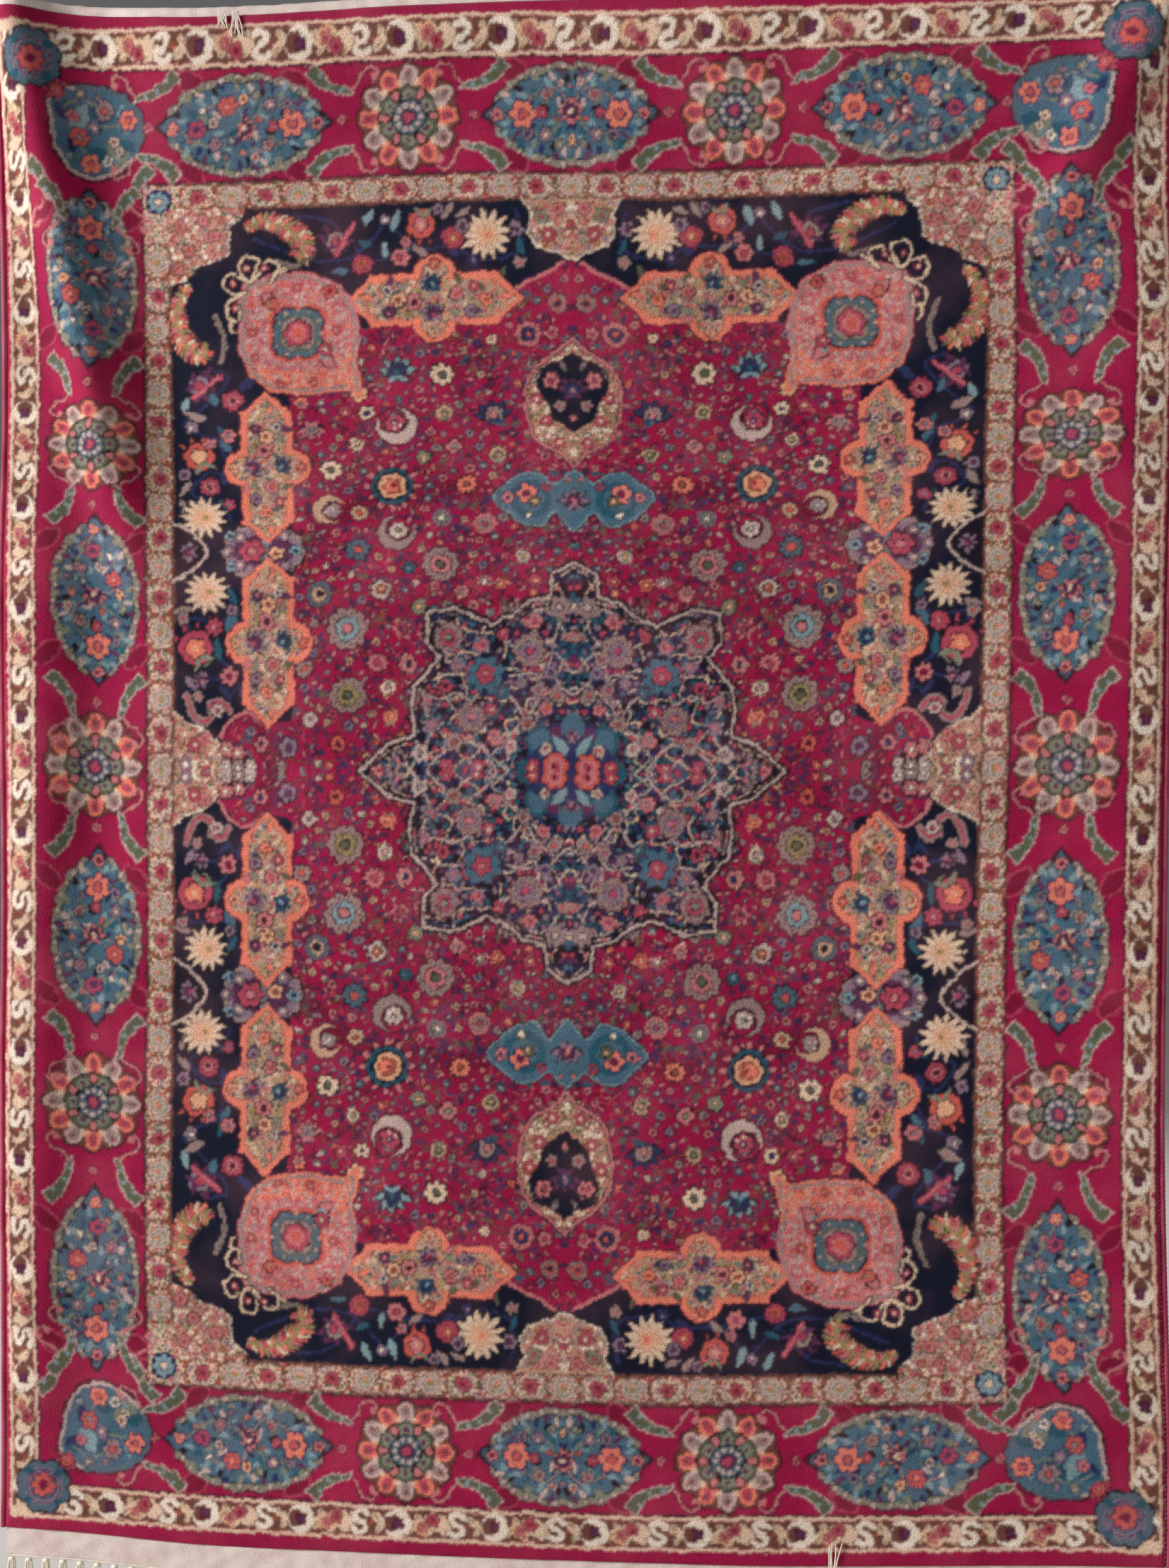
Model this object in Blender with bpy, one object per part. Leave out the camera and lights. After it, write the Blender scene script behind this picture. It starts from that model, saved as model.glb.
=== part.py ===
"""Persian pile rug, hung by its top edge with the pile side to the front.

Frame: metres, +X right, +Z up, the pile faces -Y.  The origin is the middle of
the top edge, on the crest of the turned-back kilim end that holds the rug up.

Every piece is cut flat first, in cloth coordinates (across, down, out), and
then draped: "across" runs from the rug's centre line to the right, "down" runs
from the top edge of the pile to its foot, and "out" stands off the middle of
the weave towards the pile side.
"""

import math

import bmesh
import bpy
from mathutils import Vector

# Driving dimensions, in metres
PILE_WIDTH = 1.480
PILE_LENGTH = 2.000
BACK_THICKNESS = 0.003
PILE_HEIGHT = 0.005
SEAM_GAP = 0.0003

SELVEDGE_RADIUS = 0.0045
SELVEDGE_SIDES = 8

KILIM_THICKNESS = 0.0024
KILIM_RISE = 0.006
KILIM_TURN_RADIUS = 0.009
KILIM_LENGTH = KILIM_RISE + math.pi * KILIM_TURN_RADIUS

FRINGE_THICKNESS = 0.004
FRINGE_HEADER = 0.006
FRINGE_LENGTH = 0.075
TASSEL_COUNT = 64
TASSEL_SHARE = 0.62

# Where the cloth is divided, as (from, to, number of strips).  The strips are
# close together where the folds are tight.
ACROSS_BANDS = (
    (-0.5, -0.32, 14),
    (-0.32, 0.39, 11),
    (0.39, 0.5, 7),
)
DOWN_BANDS = (
    (0.0, 0.06, 6),
    (0.06, 0.36, 10),
    (0.36, 1.0, 14),
)

# How far the hung edges drop below a straight line, as (across, drop).
TOP_EDGE = (
    (-0.75, 0.002),
    (-0.46, 0.016),
    (-0.14, 0.008),
    (0.37, 0.009),
    (0.75, 0.010),
)
BOTTOM_EDGE = (
    (-0.75, -0.003),
    (-0.40, 0.013),
    (0.15, 0.015),
    (0.75, -0.001),
)

# How far the sides stand out from straight, as (down, spread).  The top corners
# are pulled outwards, and the weave is a little uneven further down.
LEFT_SIDE = (
    (0.00, 0.026),
    (0.65, 0.016),
    (1.30, 0.003),
    (2.00, -0.010),
)
RIGHT_SIDE = (
    (0.00, 0.020),
    (0.28, 0.017),
    (0.85, 0.006),
    (1.40, 0.003),
    (2.00, 0.018),
)
LEAN_OF_FOOT = -0.014

# Folds, as straight crests in cloth coordinates: the crest runs from its head
# to its foot, spreads by its half width and stands out by its height.  It dies
# away over its fade past either end.
FOLDS = (
    # head across, head down, foot across, foot down, half width, height, fade
    (-0.715, 0.030, -0.618, 0.500, 0.042, 0.027, 0.220),
    (-0.600, 0.050, -0.500, 0.560, 0.055, -0.006, 0.150),
    (-0.690, 0.750, -0.700, 1.700, 0.045, 0.012, 0.200),
    (-0.600, 0.780, -0.610, 1.050, 0.050, -0.007, 0.160),
    (0.735, 0.010, 0.620, 0.240, 0.038, 0.016, 0.090),
    (0.690, 0.300, 0.705, 1.500, 0.060, 0.008, 0.260),
    (-0.480, 0.032, 0.160, 0.030, 0.024, 0.009, 0.120),
    (0.280, 0.500, 0.330, 1.300, 0.150, -0.008, 0.350),
    (-0.240, 1.100, -0.150, 1.700, 0.170, 0.009, 0.300),
)


def at_fraction(fraction, bands):
    """Return the place that a fraction of all the strips falls on."""
    strips = sum(count for _, _, count in bands)
    position = fraction * strips
    for start, end, count in bands:
        if position <= count + 1e-6:
            return start + (end - start) * position / count
        position -= count
    return bands[-1][1]


def eased(place, table):
    """Return a table's value at a place, eased from one row to the next."""
    place = min(max(place, table[0][0]), table[-1][0])
    for (start, before), (end, after) in zip(table, table[1:]):
        if place <= end:
            ease = 0.5 - 0.5 * math.cos(math.pi * (place - start) / (end - start))
            return before + (after - before) * ease
    return table[-1][1]


def side_shift(across, down):
    """Return how far a point is spread sideways by the shape of the sides."""
    table = LEFT_SIDE if across < 0.0 else RIGHT_SIDE
    spread = eased(down, table) * across / (0.5 * PILE_WIDTH)
    return spread + LEAN_OF_FOOT * (down / PILE_LENGTH) ** 2


def fold_offset(across, down):
    """Return how far the folds bring a point out, and draw it sideways."""
    out = 0.0
    drawn = 0.0
    for head_x, head_s, foot_x, foot_s, width, height, fade in FOLDS:
        run_x = foot_x - head_x
        run_s = foot_s - head_s
        length = math.hypot(run_x, run_s)
        along = ((across - head_x) * run_x + (down - head_s) * run_s) / length
        side = ((across - head_x) * run_s - (down - head_s) * run_x) / length
        past_end = max(-along, along - length, 0.0)
        strength = math.exp(-((past_end / fade) ** 2))
        reach = side / width
        out += height * strength * math.exp(-(reach**2))
        taken_up = 0.3133 * (height * strength) ** 2 / width
        drawn -= taken_up * math.tanh(1.5 * reach) * run_s / length
    return out, drawn


def middle_of_weave(across, down):
    """Return where a point on the middle of the weave hangs."""
    on_pile = min(max(down, 0.0), PILE_LENGTH)
    out, drawn = fold_offset(across, on_pile)
    hang = on_pile / PILE_LENGTH
    drop = eased(across, TOP_EDGE) * (1.0 - hang) + eased(across, BOTTOM_EDGE) * hang
    x = across + drawn + side_shift(across, on_pile)
    y = -out
    z = -drop
    past = -down - KILIM_RISE
    if past <= 0.0:
        return Vector((x, y, z - down))
    angle = min(past / KILIM_TURN_RADIUS, math.pi)
    beyond = max(past - math.pi * KILIM_TURN_RADIUS, 0.0)
    y += KILIM_TURN_RADIUS * (1.0 - math.cos(angle))
    z += KILIM_RISE + KILIM_TURN_RADIUS * math.sin(angle) - beyond
    return Vector((x, y, z))


HUNG_FROM = middle_of_weave(0.0, -KILIM_RISE - 0.5 * math.pi * KILIM_TURN_RADIUS)


def drape(across, down, out):
    """Return the hung place of a point that stands off the weave."""
    step = 0.0005
    right = middle_of_weave(across + step, down) - middle_of_weave(across - step, down)
    below = middle_of_weave(across, down + step) - middle_of_weave(across, down - step)
    normal = below.cross(right).normalized()
    return middle_of_weave(across, down) + normal * out - HUNG_FROM


def drape_on_strips(across, down, out):
    """Return the hung place on the straight strips that the rug is cut into."""
    columns = strip_count(ACROSS_BANDS)
    stations = [across_place(column / columns) for column in range(columns + 1)]
    for left, right in zip(stations, stations[1:]):
        if across <= right + 1e-6:
            share = (across - left) / (right - left)
            return drape(left, down, out).lerp(drape(right, down, out), share)
    return drape(across, down, out)


def hang_up(name, mesh, material, collection):
    """Drape a flat mesh, whose x is across, y is up and z is out."""
    for vertex in mesh.verts:
        vertex.co = drape_on_strips(vertex.co.x, -vertex.co.y, vertex.co.z)
    bmesh.ops.recalc_face_normals(mesh, faces=mesh.faces)
    if mesh.calc_volume(signed=True) < 0.0:
        bmesh.ops.reverse_faces(mesh, faces=mesh.faces)
    data = bpy.data.meshes.new(name)
    mesh.to_mesh(data)
    mesh.free()
    data.materials.append(material)
    data.shade_smooth()
    data.set_sharp_from_angle(angle=math.radians(40.0))
    piece = bpy.data.objects.new(name, data)
    collection.objects.link(piece)
    return piece


def thicken(mesh, back, front):
    """Give a flat grid its thickness, from the back to the front."""
    for vertex in mesh.verts:
        vertex.co.z = front
    bmesh.ops.solidify(mesh, geom=mesh.faces[:], thickness=front - back)
    lowest = min(vertex.co.z for vertex in mesh.verts)
    for vertex in mesh.verts:
        vertex.co.z += back - lowest


def flat_panel(columns, rows, column_place, row_place, back, front):
    """Return a flat slab with its strips at the places that are given."""
    mesh = bmesh.new()
    bmesh.ops.create_grid(mesh, x_segments=columns, y_segments=rows, size=0.5)
    for vertex in mesh.verts:
        vertex.co.x = column_place(vertex.co.x + 0.5)
        vertex.co.y = -row_place(vertex.co.y + 0.5)
    thicken(mesh, back, front)
    return mesh


def strip_count(bands):
    """Return the number of strips in a set of bands."""
    return sum(count for _, _, count in bands)


def across_place(fraction):
    """Return the place across the pile of a column."""
    return PILE_WIDTH * at_fraction(fraction, ACROSS_BANDS)


def down_place(fraction):
    """Return the place down the pile of a row."""
    return PILE_LENGTH * at_fraction(fraction, DOWN_BANDS)


def rug_body():
    """Return the woven foundation with its pile, one piece."""
    return flat_panel(
        strip_count(ACROSS_BANDS), strip_count(DOWN_BANDS),
        across_place, down_place, -BACK_THICKNESS, PILE_HEIGHT,
    )


def selvedge(side):
    """Return one overcast side edge, a round cord as long as the pile."""
    mesh = bmesh.new()
    rows = strip_count(DOWN_BANDS)
    bmesh.ops.create_cone(
        mesh, cap_ends=True, segments=SELVEDGE_SIDES,
        radius1=SELVEDGE_RADIUS, radius2=SELVEDGE_RADIUS, depth=1.0,
    )
    long_edges = [edge for edge in mesh.edges if edge.calc_length() > 0.5]
    bmesh.ops.subdivide_edges(mesh, edges=long_edges, cuts=rows - 1, use_grid_fill=True)
    centre = side * (0.5 * PILE_WIDTH + SEAM_GAP + SELVEDGE_RADIUS)
    for vertex in mesh.verts:
        x, out, along = vertex.co
        vertex.co = Vector((centre + x, -down_place(along + 0.5), out))
    return mesh


def kilim_end(start, end, rows):
    """Return one flat-woven end, from one place down to another."""
    half = 0.5 * KILIM_THICKNESS
    return flat_panel(
        strip_count(ACROSS_BANDS), rows, across_place,
        lambda fraction: start + (end - start) * fraction, -half, half,
    )


def fringe(start, end, tassel_rows):
    """Return one comb of tassels that stand on a narrow header."""
    mesh = bmesh.new()
    columns = 2 * TASSEL_COUNT - 1
    rows = tassel_rows + 1
    bmesh.ops.create_grid(mesh, x_segments=columns, y_segments=rows, size=0.5)
    openings = []
    for face in mesh.faces:
        middle = face.calc_center_median()
        column = int((middle.x + 0.5) * columns)
        row = int((middle.y + 0.5) * rows)
        if column % 2 == 1 and row > 0:
            openings.append(face)
    bmesh.ops.delete(mesh, geom=openings, context="FACES")
    pitch = PILE_WIDTH / (TASSEL_COUNT - 1 + TASSEL_SHARE)
    header = math.copysign(FRINGE_HEADER, end - start)
    for vertex in mesh.verts:
        column = round((vertex.co.x + 0.5) * columns)
        row = round((vertex.co.y + 0.5) * rows)
        edge_of_tassel = pitch * TASSEL_SHARE * (column % 2)
        vertex.co.x = -0.5 * PILE_WIDTH + pitch * (column // 2) + edge_of_tassel
        reach = header if row else 0.0
        if row:
            reach += (end - start - header) * (row - 1) / tassel_rows
        vertex.co.y = -(start + reach)
    half = 0.5 * FRINGE_THICKNESS
    thicken(mesh, -half, half)
    return mesh


def finish(name, colour, roughness):
    """Return a plain material of one colour."""
    material = bpy.data.materials.new(name)
    material.use_nodes = True
    shader = material.node_tree.nodes["Principled BSDF"]
    shader.inputs["Base Color"].default_value = (*colour, 1.0)
    shader.inputs["Roughness"].default_value = roughness
    shader.inputs["Metallic"].default_value = 0.0
    return material


def main():
    """Cut the pieces of the rug flat and hang them up."""
    for thing in list(bpy.data.objects):
        bpy.data.objects.remove(thing, do_unlink=True)
    rug = bpy.data.collections.new("persian_rug")
    bpy.context.scene.collection.children.link(rug)
    pile = finish("crimson_pile", (0.34, 0.018, 0.060), 0.85)
    overcast = finish("crimson_overcast", (0.30, 0.020, 0.055), 0.80)
    cotton = finish("cream_cotton", (0.72, 0.62, 0.49), 0.90)

    foot = PILE_LENGTH + SEAM_GAP
    hang_up("rug_body", rug_body(), pile, rug)
    hang_up("selvedge_left", selvedge(-1.0), overcast, rug)
    hang_up("selvedge_right", selvedge(1.0), overcast, rug)
    hang_up("kilim_end_top", kilim_end(-SEAM_GAP, -KILIM_LENGTH, 8), cotton, rug)
    hang_up("kilim_end_bottom", kilim_end(foot, foot + KILIM_LENGTH, 1), cotton, rug)
    top_knots = -KILIM_LENGTH - SEAM_GAP
    hang_up("fringe_top", fringe(top_knots, top_knots - FRINGE_LENGTH, 1), cotton, rug)
    knots = foot + KILIM_LENGTH + SEAM_GAP
    hang_up("fringe_bottom", fringe(knots, knots + FRINGE_LENGTH, 1), cotton, rug)


main()
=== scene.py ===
"""Looks of a hand-knotted Persian rug, hung by its top edge.

The rug is drawn first as a weaver draws it: a full-size cartoon on squared
paper, one square to a millimetre, in which every motif is a shape laid down
in one of the dyes of the palette.  Flat woven pieces are then made over the
cloth's own width and length, given the cartoon's colours knot by knot, and
draped with the folds in which the rug hangs.

Cloth coordinates: "across" runs from the centre line to the right, "down"
runs from the top edge of the pile to its foot, and "out" stands off the
middle of the weave towards the pile side.  The cloth is in metres, and the
cartoon in millimetres from the middle of the rug.
"""
import logging
import math
from dataclasses import dataclass, field
from enum import Enum
from typing import Callable, Iterator, Sequence

import bmesh
import bpy
import numpy as np
from mathutils import Matrix, Vector


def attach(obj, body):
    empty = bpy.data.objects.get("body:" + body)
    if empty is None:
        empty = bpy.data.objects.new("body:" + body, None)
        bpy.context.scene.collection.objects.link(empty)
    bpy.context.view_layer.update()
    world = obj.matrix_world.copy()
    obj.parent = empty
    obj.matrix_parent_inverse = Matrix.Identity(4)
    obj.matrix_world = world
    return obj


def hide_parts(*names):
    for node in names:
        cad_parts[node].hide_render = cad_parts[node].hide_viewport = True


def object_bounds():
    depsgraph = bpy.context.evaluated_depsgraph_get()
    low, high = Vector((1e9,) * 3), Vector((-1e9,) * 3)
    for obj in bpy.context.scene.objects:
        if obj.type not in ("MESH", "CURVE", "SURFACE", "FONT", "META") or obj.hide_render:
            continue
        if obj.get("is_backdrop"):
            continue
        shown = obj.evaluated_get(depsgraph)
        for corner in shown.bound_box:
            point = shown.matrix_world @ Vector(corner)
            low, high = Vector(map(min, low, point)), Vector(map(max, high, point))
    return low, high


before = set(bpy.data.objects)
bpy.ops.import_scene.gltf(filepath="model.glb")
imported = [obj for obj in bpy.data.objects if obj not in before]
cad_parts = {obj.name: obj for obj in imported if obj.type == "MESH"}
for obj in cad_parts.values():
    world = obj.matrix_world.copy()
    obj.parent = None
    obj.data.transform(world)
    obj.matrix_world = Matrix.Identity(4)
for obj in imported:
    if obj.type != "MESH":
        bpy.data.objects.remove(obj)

LOG = logging.getLogger("persian_rug")

Array = np.ndarray
Point = tuple[float, float]

ROOT = "root"

# ---------------------------------------------------------------- the dyes


class Wool(Enum):
    """Dyed wools of the rug, each with its colour as display values."""

    CRIMSON = (162, 2, 66)
    MADDER = (132, 0, 52)
    MAROON = (84, 4, 40)
    SHADOW = (22, 8, 28)
    NAVY = (4, 8, 38)
    INDIGO = (38, 46, 92)
    BLUE = (74, 108, 128)
    SKY = (132, 158, 164)
    TEAL = (36, 88, 106)
    SAGE = (136, 136, 116)
    MOSS = (92, 96, 74)
    OLIVE = (160, 138, 92)
    LILAC = (146, 118, 134)
    PLUM = (96, 44, 84)
    ROSE = (184, 70, 92)
    PINK = (206, 120, 122)
    CORAL = (208, 92, 82)
    SALMON = (238, 130, 106)
    PEACH = (234, 172, 136)
    CREAM = (234, 200, 172)
    IVORY = (246, 228, 208)
    SAND = (202, 160, 132)
    RUST = (160, 80, 58)
    BROWN = (112, 66, 54)
    STONE = (160, 132, 128)
    DOVE = (204, 176, 166)
    SLATE = (82, 104, 118)

    @property
    def number(self) -> int:
        """Return the dye's number on the cartoon."""
        return list(Wool).index(self)


(CRIMSON, MADDER, MAROON, SHADOW, NAVY, INDIGO, BLUE, SKY, TEAL, SAGE, MOSS, OLIVE, LILAC, PLUM,
 ROSE, PINK, CORAL, SALMON, PEACH, CREAM, IVORY, SAND, RUST, BROWN, STONE, DOVE, SLATE) = Wool


def linear(display: Sequence[float]) -> tuple[float, ...]:
    """Turn display values from 0 to 255 into linear light.

    Args:
        display: Red, green and blue as they are seen.

    Returns:
        The three linear values.
    """
    parts = [value / 255.0 for value in display]
    return tuple(p / 12.92 if p < 0.04045 else ((p + 0.055) / 1.055) ** 2.4 for p in parts)


# -------------------------------------------------------------- the shapes


@dataclass(frozen=True)
class Shape:
    """A shape about its own origin.

    Args:
        reach: Distance from the origin within which all of it lies.
        covers: Tells which points, given as x and y, the shape covers.
    """

    reach: float
    covers: Callable[[Array, Array], Array]


def disc(radius: float) -> Shape:
    """Return a round spot."""
    return Shape(radius, lambda x, y: x * x + y * y < radius * radius)


def oval(half_x: float, half_y: float) -> Shape:
    """Return an ellipse."""
    return Shape(max(half_x, half_y), lambda x, y: (x / half_x) ** 2 + (y / half_y) ** 2 < 1.0)


def hoop(inner: float, outer: float) -> Shape:
    """Return a round ring."""
    def covers(x: Array, y: Array) -> Array:
        away = np.hypot(x, y)
        return (away > inner) & (away < outer)
    return Shape(outer, covers)


def petals(count: int, tip: float, dip: float, turn: float = 0.0) -> Shape:
    """Return a round flower with lobed petals.

    Args:
        count: Number of petals.
        tip: Distance from the heart to a petal's tip.
        dip: Distance from the heart to the notch between petals.
        turn: Turn of the first petal, in radians.

    Returns:
        The shape.
    """
    def covers(x: Array, y: Array) -> Array:
        swell = np.abs(np.cos(0.5 * count * (np.arctan2(y, x) - turn))) ** 0.7
        return np.hypot(x, y) < dip + (tip - dip) * swell
    return Shape(tip, covers)


def scalloped(half_x: float, half_y: float, lobes: int, depth: float) -> Shape:
    """Return an ellipse with scallops round its edge."""
    def covers(x: Array, y: Array) -> Array:
        swell = np.abs(np.cos(0.5 * lobes * np.arctan2(y / half_y, x / half_x)))
        return np.hypot(x / half_x, y / half_y) < 1.0 - depth * (1.0 - swell)
    return Shape(max(half_x, half_y), covers)


def leaf(length: float, width: float, bend: float = 0.0, teeth: float = 0.0) -> Shape:
    """Return a leaf that grows from the origin along x.

    Args:
        length: Length of the leaf.
        width: Width at its widest place.
        bend: How far its tip leans to the side.
        teeth: Number of saw teeth along each edge.

    Returns:
        The shape.
    """
    def covers(x: Array, y: Array) -> Array:
        along = np.clip(x / length, 0.0, 1.0)
        half = 0.5 * width * np.sin(np.pi * along**0.8)
        half = half * (1.0 - 0.45 * ((along * teeth) % 1.0)) if teeth else half
        return (x > 0.0) & (x < length) & (np.abs(y - bend * along**2) < half)
    return Shape(math.hypot(length, abs(bend) + 0.5 * width), covers)


def lozenge(half_x: float, half_y: float) -> Shape:
    """Return a diamond."""
    return Shape(max(half_x, half_y), lambda x, y: np.abs(x) / half_x + np.abs(y) / half_y < 1.0)


def block(half_x: float, half_y: float) -> Shape:
    """Return an upright rectangle."""
    reach = math.hypot(half_x, half_y)
    return Shape(reach, lambda x, y: (np.abs(x) < half_x) & (np.abs(y) < half_y))


def moon(radius: float, bite: float, shift: float) -> Shape:
    """Return a crescent whose horns point along x."""
    def covers(x: Array, y: Array) -> Array:
        return (np.hypot(x, y) < radius) & (np.hypot(x - shift, y) > bite)
    return Shape(radius, covers)


def lens(half_x: float, half_y: float) -> Shape:
    """Return a pointed oval whose points lie on x."""
    def covers(x: Array, y: Array) -> Array:
        return np.abs(y) < half_y * np.clip(1.0 - (x / half_x) ** 2, 0.0, 1.0)
    return Shape(max(half_x, half_y), covers)


def patch(*points: Point) -> Shape:
    """Return the inside of an outline with straight sides."""
    def covers(x: Array, y: Array) -> Array:
        inside = np.zeros(np.broadcast(x, y).shape, dtype=bool)
        for (x0, y0), (x1, y1) in zip(points, (*points[1:], points[0])):
            if y0 != y1:
                level = (y0 > y) != (y1 > y)
                inside ^= level & (x < (x1 - x0) * (y - y0) / (y1 - y0) + x0)
        return inside
    return Shape(max(math.hypot(*point) for point in points), covers)


def rounded(points: Sequence[Point], steps: int = 6) -> list[Point]:
    """Return a smooth course through a few points, ends included."""
    course = []
    ends = [points[0], *points, points[-1]]
    for before, start, end, after in zip(ends, ends[1:], ends[2:], ends[3:]):
        for step in range(steps):
            t = step / steps
            course.append(tuple(
                0.5 * (2 * s + (e - b) * t + (2 * b - 5 * s + 4 * e - a) * t**2
                       + (3 * s - b - 3 * e + a) * t**3)
                for b, s, e, a in zip(before, start, end, after)
            ))
    return [*course, points[-1]]


def line(points: Sequence[Point], width: float) -> Shape:
    """Return a line of even width through a few points."""
    def covers(x: Array, y: Array) -> Array:
        near = np.full(np.broadcast(x, y).shape, np.inf)
        for (x0, y0), (x1, y1) in zip(points, points[1:]):
            run_x, run_y = x1 - x0, y1 - y0
            share = ((x - x0) * run_x + (y - y0) * run_y) / (run_x**2 + run_y**2 + 1e-9)
            share = np.clip(share, 0.0, 1.0)
            near = np.minimum(near, np.hypot(x - x0 - share * run_x, y - y0 - share * run_y))
        return near < 0.5 * width
    return Shape(max(math.hypot(*point) for point in points) + width, covers)


def tendril(points: Sequence[Point], width: float) -> Shape:
    """Return a smoothly curved line through a few points."""
    return line(rounded(points), width)


def wreath(radius: float, waves: int, depth: float, width: float) -> Shape:
    """Return a round line that waves in and out.

    Args:
        radius: Its middle radius.
        waves: Number of waves.
        depth: Height of a wave, as a share of the radius.
        width: Width of the line.

    Returns:
        The shape.
    """
    def covers(x: Array, y: Array) -> Array:
        middle = radius * (1.0 + depth * np.cos(waves * np.arctan2(y, x)))
        return np.abs(np.hypot(x, y) - middle) < 0.5 * width
    return Shape(radius * (1.0 + abs(depth)) + width, covers)


# -------------------------------------------------------------- the cartoon


@dataclass(frozen=True)
class Layer:
    """One shape of a motif, in one dye.

    Args:
        wool: The dye.
        shape: The shape.
        at: Its place in the motif.
        turn: Its turn about that place, in degrees.
    """

    wool: Wool
    shape: Shape
    at: Point = (0.0, 0.0)
    turn: float = 0.0


Motif = Sequence[Layer]


class Cartoon:
    """Squared paper on which a part of the rug is drawn, a square to a millimetre."""

    def __init__(self, width: int, length: int, ground: Wool) -> None:
        """Rule the paper.

        Args:
            width: Squares across.
            length: Squares along.
            ground: The dye that it is filled with.
        """
        self.squares = np.full((length, width), ground.number, dtype=np.uint8)

    def lay(self, wool: Wool, shape: Shape, at: Point = (0.0, 0.0), turn: float = 0.0,
            on: Sequence[Wool] = ()) -> None:
        """Fill the squares that a shape covers.

        Args:
            wool: The dye.
            shape: The shape.
            at: Where its origin lies.
            turn: Its turn, in degrees.
            on: The only dyes that may be covered, or none for all.
        """
        length, width = self.squares.shape
        left, right = (int(np.clip(at[0] + s * (shape.reach + 2), 0, width)) for s in (-1, 1))
        low, high = (int(np.clip(at[1] + s * (shape.reach + 2), 0, length)) for s in (-1, 1))
        if left >= right or low >= high:
            return
        x = np.arange(left, right)[None, :] + 0.5 - at[0]
        y = np.arange(low, high)[:, None] + 0.5 - at[1]
        cosine, sine = math.cos(math.radians(turn)), math.sin(math.radians(turn))
        covered = shape.covers(cosine * x + sine * y, cosine * y - sine * x)
        window = self.squares[low:high, left:right]
        if on:
            covered = covered & np.isin(window, [dye.number for dye in on])
        window[covered] = wool.number

    def draw(self, motif: Motif, at: Point, turn: float = 0.0) -> None:
        """Lay down every layer of a motif.

        Args:
            motif: The layers, from the lowest up.
            at: Where the motif's origin lies.
            turn: Its turn, in degrees.
        """
        cosine, sine = math.cos(math.radians(turn)), math.sin(math.radians(turn))
        for layer in motif:
            x, y = layer.at
            place = (at[0] + cosine * x - sine * y, at[1] + sine * x + cosine * y)
            self.lay(layer.wool, layer.shape, place, turn + layer.turn)

    def is_wool(self, at: Point, *wools: Wool) -> bool:
        """Return whether a square is in one of a few dyes."""
        length, width = self.squares.shape
        column, row = (int(place) for place in at)
        if not (0 <= column < width and 0 <= row < length):
            return False
        return self.squares[row, column] in [dye.number for dye in wools]


# --------------------------------------------------------------- the motifs


def around(count: int, away: float, wool: Wool, shape: Shape, start: float = 0.0) -> Motif:
    """Return a ring of one shape, each turned outwards.

    Args:
        count: How many.
        away: Their distance from the middle.
        wool: Their dye.
        shape: The shape, which grows along x.
        start: Turn of the first, in degrees.

    Returns:
        The layers.
    """
    ring = []
    for number in range(count):
        turn = start + 360.0 * number / count
        angle = math.radians(turn)
        ring.append(Layer(wool, shape, (away * math.cos(angle), away * math.sin(angle)), turn))
    return ring


def fan(count: int, spread: float, wool: Wool, shape: Shape, base: float = 0.0) -> Motif:
    """Return a fan of one shape from a base on x, spread either side of x."""
    half = 0.5 * spread
    turns = [half * (2.0 * number / (count - 1) - 1.0) for number in range(count)]
    return [Layer(wool, shape, (base, 0.0), turn) for turn in turns]


def daisy(radius: float, petal: Wool, heart: Wool, count: int = 8,
          rim: Wool = SHADOW) -> Motif:
    """Return an open flower seen from above."""
    return [
        Layer(rim, petals(count, 1.12 * radius + 0.8, 0.86 * radius)),
        Layer(petal, petals(count, radius, 0.62 * radius)), Layer(rim, disc(0.44 * radius)),
        Layer(heart, disc(0.32 * radius)),
    ]


def wheel(radius: float, petal: Wool, ring: Wool, heart: Wool) -> Motif:
    """Return a big open rosette with two rings of petals."""
    return [
        Layer(MAROON, petals(10, 1.1 * radius, 0.94 * radius)),
        Layer(petal, petals(10, radius, 0.8 * radius)),
        *around(10, 0.78 * radius, BROWN, oval(0.1 * radius, 0.06 * radius)),
        Layer(SHADOW, petals(10, 0.66 * radius, 0.52 * radius, 0.3)),
        Layer(ring, petals(10, 0.58 * radius, 0.44 * radius, 0.3)), Layer(SHADOW, disc(0.32 * radius)),
        Layer(heart, disc(0.22 * radius)),
    ]


def lotus(size: float, shell: Wool, body: Wool, heart: Wool, rim: Wool = SHADOW) -> Motif:
    """Return a palmette that opens along x."""
    return [
        *fan(5, 150.0, rim, leaf(1.16 * size, 0.62 * size), -0.12 * size),
        *fan(5, 150.0, shell, leaf(1.02 * size, 0.44 * size), -0.08 * size),
        Layer(rim, scalloped(0.62 * size, 0.56 * size, 10, 0.14)),
        Layer(body, scalloped(0.52 * size, 0.46 * size, 10, 0.14)),
        Layer(rim, leaf(0.62 * size, 0.5 * size), (-0.28 * size, 0.0)),
        Layer(heart, leaf(0.5 * size, 0.34 * size), (-0.22 * size, 0.0)),
        *fan(2, 250.0, shell, leaf(0.6 * size, 0.26 * size), -0.2 * size),
    ]


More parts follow.
